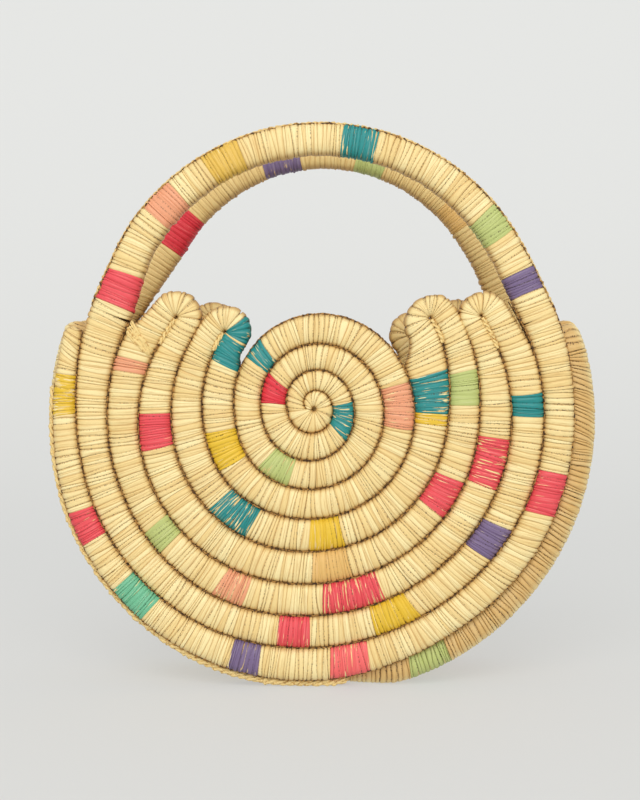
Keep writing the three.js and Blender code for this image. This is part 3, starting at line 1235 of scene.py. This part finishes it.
@dataclass(frozen=True)
class WoundStraw:
    """The finish of wound straw, undyed and dyed, with painted shade at the strands' edges, in their grooves,
    on the coils' flanks and in the seams.
    """

    name: str = "wound_straw"
    roughness: float = 0.58
    groove_shade_darkness: float = 0.85
    flank_shade: float = 0.8
    seam_shade_depth: float = 0.3
    nick_depth: float = 0.85

    def make(self) -> bpy.types.Material:
        """Makes the material.

        Returns:
            The material.
        """
        book = Book(self.name)
        place = book.wire(book.node("ShaderNodeUVMap"))
        split = book.node("ShaderNodeSeparateXYZ", {}, {0: place})
        along, around = book.wire(split, 0), book.wire(split, 1)
        shade_and_marks = book.node("ShaderNodeSeparateColor", {}, {0: book.attribute("shade_and_marks")})
        dark, tone, tick = (book.wire(shade_and_marks, index) for index in range(3))
        edge = book.attribute("shade_and_marks", "Alpha")
        fibre = book.noise(book.place(along * 21.0, around * 3.2), 1.0, 3.0, 0.62)
        patch = book.noise(book.place(along * 1.3, around * 4.0), 1.0, 2.0)
        grain = book.noise(book.place(along * 60.0, around * 60.0), 1.0, 3.0, 0.7)
        flank = abs((around * math.tau).cosine())
        straw = book.blend(rgba(Straw.PALE), rgba(Straw.WARM), (tone * 0.8 + patch * 0.5).rising(0.25, 1.0))
        straw = book.blend(straw, rgba(Straw.GOLD), fibre.rising(0.50, 0.68) * 0.55)
        # Painted shade: golden towards each strand's edges, where it dips under its neighbour.
        straw = book.blend(straw, rgba(Straw.GOLD), (edge * (0.35 + patch * 0.9)).rising(0.15, 0.9) * 0.75)
        # Painted shade: golden towards the coil's flanks, where the rounded coil turns from the light.
        straw = book.blend(straw, rgba(Straw.GOLD), flank.rising(0.58, 1.0) * self.flank_shade)
        straw = book.blend(straw, rgba(Straw.GOLD), grain.rising(0.5, 0.75) * 0.35)
        straw = self._dyed(book, straw, along, around, fibre)
        # The groove lines are painted shade, stronger towards the coil's flanks; the ticks among them are
        # dark marks.
        line = self._groove_shade_and_ticks(book, dark, tick, edge, along, around) * (flank.rising(0.45, 1.0) * 0.45 + 0.62)
        colour = book.blend(straw, rgba(Straw.SHADE_STITCH_AND_TICKS), line * self.groove_shade_darkness)
        colour = self._seam_shaded(book, colour, edge, flank, along, around)
        height = fibre * 0.7 - line * 0.8
        bump = book.node("ShaderNodeBump", {}, {"Strength": 0.4, "Distance": 0.0003, "Height": height})
        rough = fibre * 0.3 + (self.roughness - 0.15)
        return book.finish(base_color=colour, roughness=rough, normal=book.wire(bump))

    @staticmethod
    def _dyed(book: Book, straw: Wire, along: Wire, around: Wire, fibre: Wire) -> Wire:
        """Lays the dye over the straw, broken by bare streaks.

        Args:
            book: The material's nodes.
            straw: The undyed colour.
            along: The length along the coil, in centimetres.
            around: The turn round the coil.
            fibre: The fine grain.

        Returns:
            The colour of the strand.
        """
        dye = book.attribute("dye")
        dyed = book.attribute("dye", "Alpha")
        streak = book.noise(book.place(along * 11.0, around * 4.0), 1.0, 2.0, 0.6)
        keep = (dyed * 1.05 - streak.rising(0.5, 0.72) * (1.35 - dyed)).rising(0.35, 0.5)
        shaded = book.blend(dye, (0.0, 0.0, 0.0, 1.0), fibre.rising(0.48, 0.8) * 0.25)
        shaded = book.blend(shaded, (1.0, 0.88, 0.7, 1.0), (1.0 - fibre).rising(0.52, 0.8) * 0.22)
        return book.blend(straw, shaded, keep)

    @staticmethod
    def _groove_shade_and_ticks(book: Book, dark: Wire, tick: Wire, edge: Wire, along: Wire, around: Wire) -> Wire:
        """Returns the painted shade line in the groove beside each strand, and in places a row of dark ticks.

        Args:
            book: The material's nodes.
            dark: How dark the groove's painted shade is.
            tick: Whether the strand has a row of ticks.
            edge: How near the strand's edge is.
            along: The length along the coil, in centimetres.
            around: The turn round the coil.

        Returns:
            The strength of the painted shade line and of the ticks.
        """
        waver = book.noise(book.place(along * 2.0, around * 12.0), 1.0, 2.0)
        line = (dark * (0.5 + waver)).rising(0.28, 1.0)
        dots = book.noise(book.place(along * 12.0, around * 110.0), 1.0, 1.0)
        ticks = dots.rising(0.53, 0.60) * tick * edge.rising(0.2, 0.5) * 1.35
        return line.larger(ticks)

    def _seam_shaded(self, book: Book, colour: Wire, edge: Wire, flank: Wire, along: Wire, around: Wire) -> Wire:
        """Paints shade into the seam with its neighbour, with a dark nick at each strand's groove, partly
        sewing strand and partly painted shade.

        Args:
            book: The material's nodes.
            colour: The colour so far.
            edge: How near the strand's edge is.
            flank: 0 in the middle of the coil's face, 1 at its edge.
            along: The length along the coil, in centimetres.
            around: The turn round the coil.

        Returns:
            The darkened colour.
        """
        waver = book.noise(book.place(along * 5.0, around * 2.0), 1.0, 2.0)
        seam = (flank + waver * 0.05).rising(0.985, 1.02)
        nick = edge.rising(0.5, 1.0) * (flank + waver * 0.12).rising(0.90, 1.01)
        # Painted shade in the groove where the coil meets its neighbour, and a dark nick at each strand's
        # groove, partly sewing strand and partly painted shade.
        colour = book.blend(colour, rgba(Straw.SEAM_SHADE), seam * self.seam_shade_depth)
        return book.blend(colour, rgba(Straw.SHADE_STITCH_AND_TICKS), nick * self.nick_depth)


@dataclass
class Cord:
    """Cords of one or more strands twisted together, laid along lines."""

    name: str
    lines: Sequence[np.ndarray]
    seed: int
    radius: float = 0.00031
    strands: int = 1
    twist: float = 0.0
    pitch: float = 0.007
    waver: float = 0.00014
    unevenness: float = 0.28
    sides: int = 6
    step: float = 0.0011

    def build(self) -> bpy.types.Object:
        """Builds the cords of all lines as one piece.

        Returns:
            The piece.
        """
        rng = np.random.default_rng(self.seed)
        parts = [self._strand(f"{self.name}_{index}_{strand}", line, strand, rng)
                 for index, line in enumerate(self.lines) for strand in range(self.strands)]
        bpy.ops.object.select_all(action="DESELECT")
        for part in parts:
            part.select_set(True)
        bpy.context.view_layer.objects.active = parts[0]
        if len(parts) > 1:
            bpy.ops.object.join()
        piece = bpy.context.active_object
        piece.name = self.name
        piece.data.name = self.name
        return piece

    def _strand(self, name: str, line: np.ndarray, strand: int, rng: np.random.Generator) -> bpy.types.Object:
        """Builds one strand along a line.

        Args:
            name: The strand's name.
            line: The cord's middle line.
            strand: Which of the cord's strands this is.
            rng: The source of chance.

        Returns:
            The strand's piece.
        """
        along = np.concatenate([[0], np.cumsum(np.linalg.norm(np.diff(line, axis=0), axis=1))])
        count = max(int(along[-1] / self.step), 6)
        at = np.linspace(0, along[-1], count)
        centre = np.stack([np.interp(at, along, line[:, axis]) for axis in range(3)], axis=-1)
        side, lift = self._frame(centre)
        wind = at / self.pitch * math.tau + strand / self.strands * math.tau
        centre = centre + self.twist * (side * np.cos(wind)[:, None] + lift * np.sin(wind)[:, None])
        centre += rng.normal(0, self.waver, (count, 3))
        side, lift = self._frame(centre)
        radius = self.radius * np.clip(rng.lognormal(0, self.unevenness, count), 0.5, 1.7)
        radius[[0, -1]] = 0.0
        piece, row, column = flat_sheet(name, count, self.sides)
        turn = (column % self.sides) / self.sides * math.tau
        out = side[row] * np.cos(turn)[:, None] + lift[row] * np.sin(turn)[:, None]
        piece.data.vertices.foreach_set("co", (centre[row] + out * radius[row][:, None]).ravel())
        close_roll(piece, 1e-6)
        return piece

    @staticmethod
    def _frame(centre: np.ndarray) -> tuple[np.ndarray, np.ndarray]:
        """Returns the directions square to a line at each of its points.

        Args:
            centre: The line's points.

        Returns:
            The two directions at each point.
        """
        way = np.gradient(centre, axis=0)
        way /= np.maximum(np.linalg.norm(way, axis=1), 1e-9)[:, None]
        side = np.cross(way, np.array([0.0, 1.0, 0.0]))
        side /= np.maximum(np.linalg.norm(side, axis=1), 1e-9)[:, None]
        return side, np.cross(side, way)


@dataclass(frozen=True)
class CordStraw:
    """The finish of a sewing strand."""

    name: str
    ground: Straw
    fleck: Straw
    fleck_share: float

    def make(self) -> bpy.types.Material:
        """Makes the material.

        Returns:
            The material.
        """
        book = Book(self.name)
        place = book.wire(book.node("ShaderNodeTexCoord"), "Object")
        cloud = book.noise(place, 700.0, 2.0)
        fleck = cloud.rising(0.66 - self.fleck_share * 0.3, 0.8 - self.fleck_share * 0.3)
        colour = book.blend(rgba(self.ground), rgba(self.fleck), fleck * 0.8)
        return book.finish(base_color=colour, roughness=0.75)


@dataclass
class Studio:
    """The pale floor and backdrop, the soft light and the camera."""

    distance: float = 0.765
    plane: float = -0.0386
    eye: tuple[float, float] = (0.012, 0.1795)
    frame_height: float = 0.400
    frame_middle: tuple[float, float] = (0.0, 0.1445)
    sensor: float = 36.0
    floor_rows: int = 60
    floor_width: float = 9.0
    floor_front: float = 3.5
    bend_start: float = 0.9
    bend_radius: float = 1.6
    wall_top: float = 4.0
    near_tone: tuple[float, ...] = (0.222, 0.223, 0.218, 1.0)
    far_tone: tuple[float, ...] = (0.270, 0.272, 0.266, 1.0)
    floor_glow: float = 2.06
    sky_strength: float = 0.62
    target: tuple[float, ...] = (0.0, 0.0, 0.14)

    def build(self) -> None:
        """Builds the studio.

        Returns:
            Nothing.
        """
        self._backdrop()
        self._lights()
        self._camera()

    def _backdrop(self) -> None:
        """Adds a floor that curves up into a wall.

        Returns:
            Nothing.
        """
        bpy.ops.object.select_all(action="DESELECT")
        bpy.ops.mesh.primitive_grid_add(x_subdivisions=2, y_subdivisions=self.floor_rows, size=1.0)
        floor = bpy.context.active_object
        floor.name = "floor"
        quarter = self.bend_radius * math.pi / 2
        total = self.floor_front + self.bend_start + quarter + self.wall_top
        for vertex in floor.data.vertices:
            gone = (vertex.co.y + 0.5) * total - self.floor_front
            turn = min(max((gone - self.bend_start) / self.bend_radius, 0.0), math.pi / 2)
            flat = min(gone, self.bend_start)
            rise = max(gone - self.bend_start - quarter, 0.0)
            vertex.co = (vertex.co.x * self.floor_width, flat + self.bend_radius * math.sin(turn),
                         self.bend_radius * (1 - math.cos(turn)) + rise)
        bpy.ops.object.shade_smooth()
        book = Book("pale_floor")
        place = book.wire(book.node("ShaderNodeTexCoord"), "Object")
        depth = book.wire(book.node("ShaderNodeSeparateXYZ", {}, {0: place}), 1).rising(0.3, 2.4)
        colour = book.blend(self.near_tone, self.far_tone, depth)
        floor.data.materials.append(book.finish(base_color=colour, roughness=0.9, emission_color=colour,
                                                emission_strength=self.floor_glow))
        floor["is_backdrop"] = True

    def _lights(self) -> None:
        """Adds the sky light and the soft boxes, and keeps the colours as they are lit.

        Returns:
            Nothing.
        """
        bpy.context.scene.view_settings.view_transform = "Standard"
        world = bpy.data.worlds.new("studio")
        bpy.context.scene.world = world
        world.use_nodes = True
        background = world.node_tree.nodes["Background"]
        background.inputs["Color"].default_value = (1.0, 1.0, 1.0, 1.0)
        background.inputs["Strength"].default_value = self.sky_strength
        self._soft_box("key", (-0.28, -1.95, 1.55), 34.0, 1.7)
        self._soft_box("fill", (0.9, -1.9, 0.5), 10.0, 1.6)

    def _soft_box(self, name: str, place: tuple[float, float, float], power: float, size: float) -> None:
        """Adds one soft box that faces the purse.

        Args:
            name: The lamp's name.
            place: Where it hangs.
            power: Its power in watts.
            size: Its width.

        Returns:
            Nothing.
        """
        bpy.ops.object.select_all(action="DESELECT")
        bpy.ops.object.light_add(type="AREA", location=place)
        lamp = bpy.context.active_object
        lamp.name = name
        lamp.data.energy = power
        lamp.data.size = size
        lamp.rotation_euler = (Vector(self.target) - Vector(place)).to_track_quat("-Z", "Y").to_euler()

    def _camera(self) -> None:
        """Adds the camera, level and square to the front, with the frame shifted to the purse.

        Returns:
            Nothing.
        """
        bpy.ops.object.camera_add(location=(self.eye[0], self.plane - self.distance, self.eye[1]),
                                  rotation=(math.pi / 2, 0.0, 0.0))
        camera = bpy.context.active_object
        camera.name = "camera"
        camera.data.sensor_width = self.sensor
        camera.data.lens = self.sensor * self.distance / self.frame_height
        camera.data.shift_x = (self.frame_middle[0] - self.eye[0]) / self.frame_height
        camera.data.shift_y = (self.frame_middle[1] - self.eye[1]) / self.frame_height
        bpy.context.scene.camera = camera


# The front's dyed bands, run by run from the middle outwards, and the arch's from left to right
FRONT_BANDS = (
    Band("disc", 530, 584, Dye.TEAL, 0.30),
    Band("disc", 728, 758, Dye.CRIMSON, 0.08),
    Band("disc", 1009, 1034, Dye.LEAF, 0.28),
    Band("disc", 1118, 1132, Dye.TEAL, 0.32),
    Band("disc", 1244, 1273, Dye.SALMON, 0.22),
    Band("disc", 1406, 1427, Dye.YELLOW, 0.15),
    Band("disc", 1466, 1500, Dye.TEAL, 0.20),
    Band("horn_left_inner", 0.0, 0.42, Dye.TEAL, 0.20),
    Band("crescent_0", 224, 242, Dye.TEAL, 0.40),
    Band("crescent_0", 268.3, 283, Dye.YELLOW, 0.30),
    Band("crescent_0", 352.5, 358, Dye.YELLOW, 0.45),
    Band("crescent_0", 358, 377, Dye.TEAL, 0.30),
    Band("crescent_1", 181.5, 194, Dye.RED, 0.15),
    Band("crescent_1", 269.5, 283, Dye.OCHRE, 0.10),
    Band("crescent_1", 319.6, 333.3, Dye.RED, 0.20),
    Band("crescent_1", 361.3, 374, Dye.LEAF, 0.10),
    Band("crescent_2", 164.7, 168.8, Dye.SALMON, 0.20),
    Band("crescent_2", 216, 223, Dye.LEAF, 0.10),
    Band("crescent_2", 241.5, 250, Dye.SALMON, 0.30),
    Band("crescent_2", 272.8, 290.6, Dye.RED, 0.32),
    Band("crescent_2", 335.7, 351, Dye.RED, 0.35),
    Band("crescent_3", 260.8, 269, Dye.RED, 0.20),
    Band("crescent_3", 285.5, 296.7, Dye.YELLOW, 0.25),
    Band("crescent_3", 318.9, 327.8, Dye.PURPLE, 0.15),
    Band("crescent_3", 357.9, 363.9, Dye.TEAL, 0.12),
    Band("crescent_4", 172, 181.3, Dye.YELLOW, 0.50),
    Band("crescent_4", 203.3, 210.6, Dye.RED, 0.15),
    Band("crescent_4", 222, 230.7, Dye.MINT, 0.18),
    Band("crescent_4", 251.2, 257.8, Dye.PURPLE, 0.25),
    Band("crescent_4", 273.7, 282.5, Dye.ROSE, 0.25),
    Band("crescent_4", 335.1, 345.2, Dye.RED, 0.15),
    Band("arch", 144.2, 152.4, Dye.RED, 0.10),
    Band("arch", 122.1, 129.6, Dye.SALMON, 0.12),
    Band("arch", 105.7, 113.7, Dye.GOLD, 0.15),
    Band("arch", 76.5, 84, Dye.TEAL, 0.28),
    Band("arch", 42.4, 49.0, Dye.LEAF, 0.12),
    Band("arch", 28.4, 33.8, Dye.PURPLE, 0.12),
)
BACK_ARCH_BANDS = (
    Band("arch", 44.2, 54.4, Dye.CRIMSON, 0.04),
    Band("arch", 74.6, 83.5, Dye.PURPLE, 0.20),
    Band("arch", 96.6, 103.8, Dye.LEAF, 0.12),
    Band("arch", 120.5, 127.9, Dye.OCHRE, 0.15),
)
GUSSET_BANDS = (
    Band("gusset_0", 203, 211, Dye.RED, 0.20),
    Band("gusset_0", 290, 299, Dye.LEAF, 0.20),
    Band("gusset_1", 196, 204, Dye.TEAL, 0.25),
    Band("gusset_1", 236, 243, Dye.YELLOW, 0.25),
    Band("gusset_1", 322, 331, Dye.ROSE, 0.20),
    Band("gusset_2", 216, 224, Dye.PURPLE, 0.20),
    Band("gusset_2", 300, 307, Dye.SALMON, 0.20),
    Band("gusset_2", 344, 352, Dye.LEAF, 0.15),
)
FRONT_SLANTS = (
    Slant("crescent_1", 292, 340, 0.0009),
    Slant("crescent_2", 292, 345, 0.0011),
    Slant("crescent_3", 292, 345, 0.0012),
    Slant("crescent_4", 292, 348, 0.0014),
    Slant("crescent_4", 161, 171, -0.0026),
)
GUSSET_SLANTS = (
    Slant("gusset_0", 280, 352, -0.0009, True),
    Slant("gusset_0", 352, 381, -0.0042, True),
    Slant("gusset_0", 160, 190, 0.0035, True),
    Slant("gusset_2", 160, 188, 0.0042, True),
    Slant("gusset_2", 188, 260, 0.0009, True),
)
# The back's bands: how far they are moved on from the front's, where the disc's stop, and their dyes' shift
BACK_DISC_SHIFT = 64.0
BACK_DISC_END = 1430.0
BACK_RING_SHIFT = 21.0
BACK_DYE_STEP = 3


def back_bands() -> list[Band]:
    """Returns the back's bands: like the front's in number and scale, in other places and colours.

    Returns:
        The bands.
    """
    dyes = list(Dye)
    bands = list(BACK_ARCH_BANDS)
    for band in FRONT_BANDS:
        if band.run == "arch" or band.run.startswith("horn"):
            continue
        shift = BACK_DISC_SHIFT if band.run == "disc" else BACK_RING_SHIFT
        dye = dyes[(dyes.index(band.dye) + BACK_DYE_STEP) % len(dyes)]
        if band.run == "disc" and band.start + shift > BACK_DISC_END:
            continue
        bands.append(Band(band.run, band.start + shift, band.end + shift, dye, band.gaps))
    return bands


@dataclass(frozen=True)
class Tail:
    """How the strands' tail lies: angles in degrees, places across the coil from -1 to 1."""

    strands: int = 6
    steps: int = 12
    start_angle: float = 155.9
    drift: float = 5.2
    spread: float = 1.9
    gathering: float = 1.0
    start_across: float = 0.95
    run_across: float = 1.85
    clearance: float = 0.015
    bow: float = 0.03


@dataclass
class FaceCoils:
    """One face's wound pieces."""

    face: Face
    bands: Sequence[Band]
    seed: int
    straw: bpy.types.Material
    open_straw: bpy.types.Material
    seam_shade_straw: bpy.types.Material
    stitch_straw: bpy.types.Material
    slants: Sequence[Slant] = ()
    arch_groove: float = Winding.groove

    # How far the cords stand towards the face, as shares of half the coil's thickness
    SEAM_SHARE = 0.60
    EDGE_SHARE = 0.56
    HORN_CORD_SHARE = 0.74
    PLAIT_SHARE = 0.16
    RIDGE_SHARE = 0.42
    NICK_SHARE = 0.63
    # How far inside the arch's and the rim's outer edges their cords run
    RIDGE_INSET = 0.0004
    NICK_INSET = 0.0007
    EDGE_INSET = 0.003
    # Where the plait starts and ends on the rim, and how thick it is
    PLAIT_SPAN = (175.0, 277.0)
    PLAIT_RADIUS = 0.0019
    # How much warmer and darker the back's strands are painted, part by part: painted shade, warmed by light
    # bounced from the straw
    BACK_SHADE_WARMTH = {"handle": 0.7, "panel": 0.55, "rim": 0.0}

    def build(self) -> Iterable[bpy.types.Object]:
        """Builds the panel, the rim, the arch and the sewing, one after the other.

        Returns:
            The dressed pieces, one at a time.
        """
        name = self.face.name
        tracks = {"panel": self.face.panel(), "rim": self.face.rim(), "handle": self.face.arch()}
        for index, (part, track) in enumerate(tracks.items()):
            winding = Winding(f"{name}_{part}_winding", self.face.placed(track).measured(), self.bands,
                              self.seed + index, self.slants, round_end=ROUND_END if part == "rim" else 0.0,
                              groove=self.arch_groove if part == "handle" else Winding.groove,
                              shade_warmth=self.BACK_SHADE_WARMTH[part] if self.face.turned else 0.0)
            finish = self.straw if part == "panel" else self.open_straw
            yield dress(winding.build(), finish, f"{name}_{part}")
        # The seam cords are dark partly as the sewing strand and partly as painted shade in the groove
        # between coils.
        seams = Cord(f"{name}_seams", self._seam_lines(), self.seed + 3)
        yield dress(seams.build(), self.seam_shade_straw, f"{name}_panel")
        stitches = Cord(f"{name}_horn_cords", self._horn_lines(), self.seed + 4, radius=0.00062, strands=2,
                        twist=0.0006, pitch=0.006, waver=0.00008, unevenness=0.18, step=0.0007)
        yield dress(stitches.build(), self.stitch_straw, f"{name}_panel")
        tail = Cord(f"{name}_tail", self._tail_lines(), self.seed + 8, radius=0.00062, waver=0.00012,
                    unevenness=0.3, step=0.0012)
        yield dress(tail.build(), self.stitch_straw, f"{name}_panel")
        plait = Cord(f"{name}_edge_plait", [self._plait_line()], self.seed + 7, radius=0.0009,
                     strands=3, twist=0.0009, pitch=0.013, waver=0.00015, unevenness=0.2, step=0.001)
        yield dress(plait.build(), self.stitch_straw, f"{name}_rim")
        lines = self._ridge_lines(self.RIDGE_INSET, self.RIDGE_SHARE)
        ridge = Cord(f"{name}_arch_ridge", lines, self.seed + 5, radius=0.00055, strands=2,
                     twist=0.00045, pitch=0.0062, waver=0.00008, unevenness=0.2, step=0.0008)
        yield dress(ridge.build(), self.stitch_straw, f"{name}_handle")
        lines = self._ridge_lines(self.NICK_INSET, self.NICK_SHARE)
        nicks = Cord(f"{name}_arch_nicks", lines, self.seed + 6, radius=0.00040, waver=0.0003,
                     unevenness=0.6, step=0.0012)
        yield dress(nicks.build(), self.seam_shade_straw, f"{name}_handle")

    def _seam_lines(self) -> list[np.ndarray]:
        """Returns the lines of the seams, on the outside and on the inside of the panel.

        Returns:
            The placed lines.
        """
        face, pattern = self.face, self.face.pattern
        horns = face.horns
        clockwise = np.arange(FULL * 0.9, 4 * FULL + LEFT - horns[0].angle, 1.5)
        flat_lines = [[face.point(LEFT - turn, self._disc_line(turn)) for turn in clockwise]]
        spans = ((1, LEFT - 36, horns[1].angle), (2, horns[2].angle, RIGHT + 32),
                 (3, pattern.leg_left_angle, horns[3].angle), (4, pattern.rim_end_angle, RIGHT + 29))
        for index, start, end in spans:
            angles = face.angles(start, end)
            flat_lines.append([face.point(angle, face.seam(index, angle)) for angle in angles])
        edge = [face.point(angle, face.seam(5, angle) - self.EDGE_INSET)
                for angle in face.angles(LEFT - 6, pattern.leg_right_angle)]
        lines = [self._sunk(flat, side, self.SEAM_SHARE) for side in (1, -1) for flat in flat_lines]
        return lines + [self._sunk(edge, 1, self.EDGE_SHARE)]

    def _horn_lines(self) -> list[np.ndarray]:
        """Returns the lines of the stitched cords in the seams below the horns.

        Returns:
            The placed lines.
        """
        lines = []
        for index, horn in enumerate(self.face.horns):
            way = 1 if index % 2 == 0 else -1
            angles = self.face.angles(horn.angle + way * 0.5, horn.angle + way * 11)
            flat = [self.face.point(angle, self.face.seam(index, angle)) for angle in angles]
            lines += [self._sunk(flat, side, self.HORN_CORD_SHARE) for side in (1, -1)]
        return lines

    def _tail_lines(self) -> list[np.ndarray]:
        """Returns the lines of the strands' tail, tucked under the left leg and laid aslant over the coil.

        Returns:
            The placed lines.
        """
        lines = []
        tail = Tail()
        for row in np.linspace(-1.0, 1.0, tail.strands):
            points = []
            for share in np.linspace(0.0, 1.0, tail.steps):
                over = tail.start_across - tail.run_across * share
                angle = tail.start_angle + tail.drift * share + row * (tail.spread - tail.gathering * share)
                inner, outer = self.face.seam(2, angle), self.face.seam(3, angle)
                point = self.face.point(angle, mix(inner, outer, (1 + over) / 2))
                up = (1 - abs(over) ** Winding.squareness) ** (1 / Winding.squareness)
                up = up + tail.clearance + tail.bow * math.sin(math.pi * share)
                points.append(self._sunk([point], 1, up)[0])
            lines.append(np.array(points))
        return lines

    def _plait_line(self) -> np.ndarray:
        """Returns the line of the plait that covers the rim's outer edge.

        Returns:
            The placed line.
        """
        flat = []
        for angle in np.linspace(*self.PLAIT_SPAN, 200):
            low = smooth_step(-math.sin(math.radians(angle)), 0.75, 1.0)
            out = mix(0.0007, self.PLAIT_RADIUS, low) / self.face.pattern.panel_radius
            point = self.face.point(angle, self.face.seam(5, angle) + out)
            flat.append(np.array([point[0], 0.0, max(point[2], self.PLAIT_RADIUS)]))
        return self._sunk(flat, 1, self.PLAIT_SHARE)

    def _ridge_lines(self, inset: float, share: float) -> list[np.ndarray]:
        """Returns the lines of the ridge along the outer edge of the arch, on both of its faces.

        Args:
            inset: How far inside the arch's edge the line runs.
            share: How far towards the face, as a share of half the arch's thickness.

        Returns:
            The placed lines.
        """
        arch = self.face.arch()
        flat = []
        for left, right in zip(arch.left, arch.right):
            way = (left - right) / np.linalg.norm(left - right)
            flat.append(left - way * inset)
        return [self._sunk(flat, side, share) for side in (1, -1)]

    def _sunk(self, flat: Sequence[np.ndarray], side: int, share: float) -> np.ndarray:
        """Returns a line of the face, moved towards one of its sides and placed on the purse.

        Args:
            flat: The line's points on the panel's middle plane.
            side: 1 for the outside, -1 for the inside.
            share: How far the line moves, as a share of half the panel's thickness.

        Returns:
            The placed line.
        """
        shift = np.array([0.0, -side * share * self.face.pattern.coil_depth / 2, 0.0])
        points = [point + shift for point in flat]
        return np.array(self.face.placed(Track(points, points, points, [("", 0.0)] * len(points))).left)

    def _disc_line(self, clockwise: float) -> float:
        """Returns the disc's seam, eased to the first horn's turning point.

        Args:
            clockwise: The clockwise angle, in degrees.

        Returns:
            The reach in panel radii.
        """
        horn = self.face.horns[0]
        end = 4 * FULL + LEFT - horn.angle
        return mix(self.face.disc_seam(clockwise), horn.reach, self.face.pull(clockwise, end))


def dress(piece: bpy.types.Object, material: bpy.types.Material, *nodes: str) -> bpy.types.Object:
    """Gives a piece its finish and its place in the frame.

    Args:
        piece: The piece.
        material: Its finish.
        nodes: The nodes that it stands for.

    Returns:
        The piece.
    """
    piece.data.materials.clear()
    piece.data.materials.append(material)
    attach(piece, "root")
    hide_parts(*nodes)
    LOG.info("%s: %d faces", piece.name, len(piece.data.polygons))
    return piece


def main(cad_box: Any) -> None:
    """Builds the purse and its studio.

    Args:
        cad_box: The frame's own box, kept before anything was added. Not used.

    Returns:
        Nothing.
    """
    logging.basicConfig(level=logging.INFO, format="%(message)s")
    pattern = PursePattern()
    straw = WoundStraw().make()
    open_straw = WoundStraw("open_straw", flank_shade=0.6, seam_shade_depth=0.0, nick_depth=0.5).make()
    smooth_straw = WoundStraw("smooth_straw", groove_shade_darkness=0.5, flank_shade=0.6, seam_shade_depth=0.0,
                              nick_depth=0.3).make()
    # The seam cords' dark colour: partly the sewing strand's own, partly painted shade of the groove between
    # coils.
    seam_shade_straw = CordStraw("seam_shade_straw", Straw.SHADE_STITCH_AND_TICKS, Straw.GOLD, 0.8).make()
    stitch_straw = CordStraw("stitch_straw", Straw.WARM, Straw.GOLD, 0.4).make()
    front = Face(pattern, "front", False, 0.785, 0.0015, 0.0)
    back = Face(pattern, "back", True, 0.735, -0.009, 2.5)
    Studio().build()
    sides = (FaceCoils(front, FRONT_BANDS, 11, straw, open_straw, seam_shade_straw, stitch_straw, FRONT_SLANTS),
             FaceCoils(back, back_bands(), 41, straw, smooth_straw, seam_shade_straw, stitch_straw,
                       arch_groove=0.00014))
    for side in sides:
        for piece in side.build():
            LOG.info("%s: %s", side.face.name, piece.name)
    strip = Gusset(pattern)
    gusset = Winding("gusset_winding", strip.track().measured(), GUSSET_BANDS, 71, GUSSET_SLANTS,
                     groove=0.00042, swell=0.0003, squareness=2.4, lean_spread=0.00022, bow_spread=0.00012,
                     round_start=ROUND_END, round_end=ROUND_END)
    dress(gusset.build(), open_straw, "gusset")
    dress(Cord("gusset_seams", strip.seam_lines(), 81).build(), seam_shade_straw, "gusset")


if __name__ == "__main__":
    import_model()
    main(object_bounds())
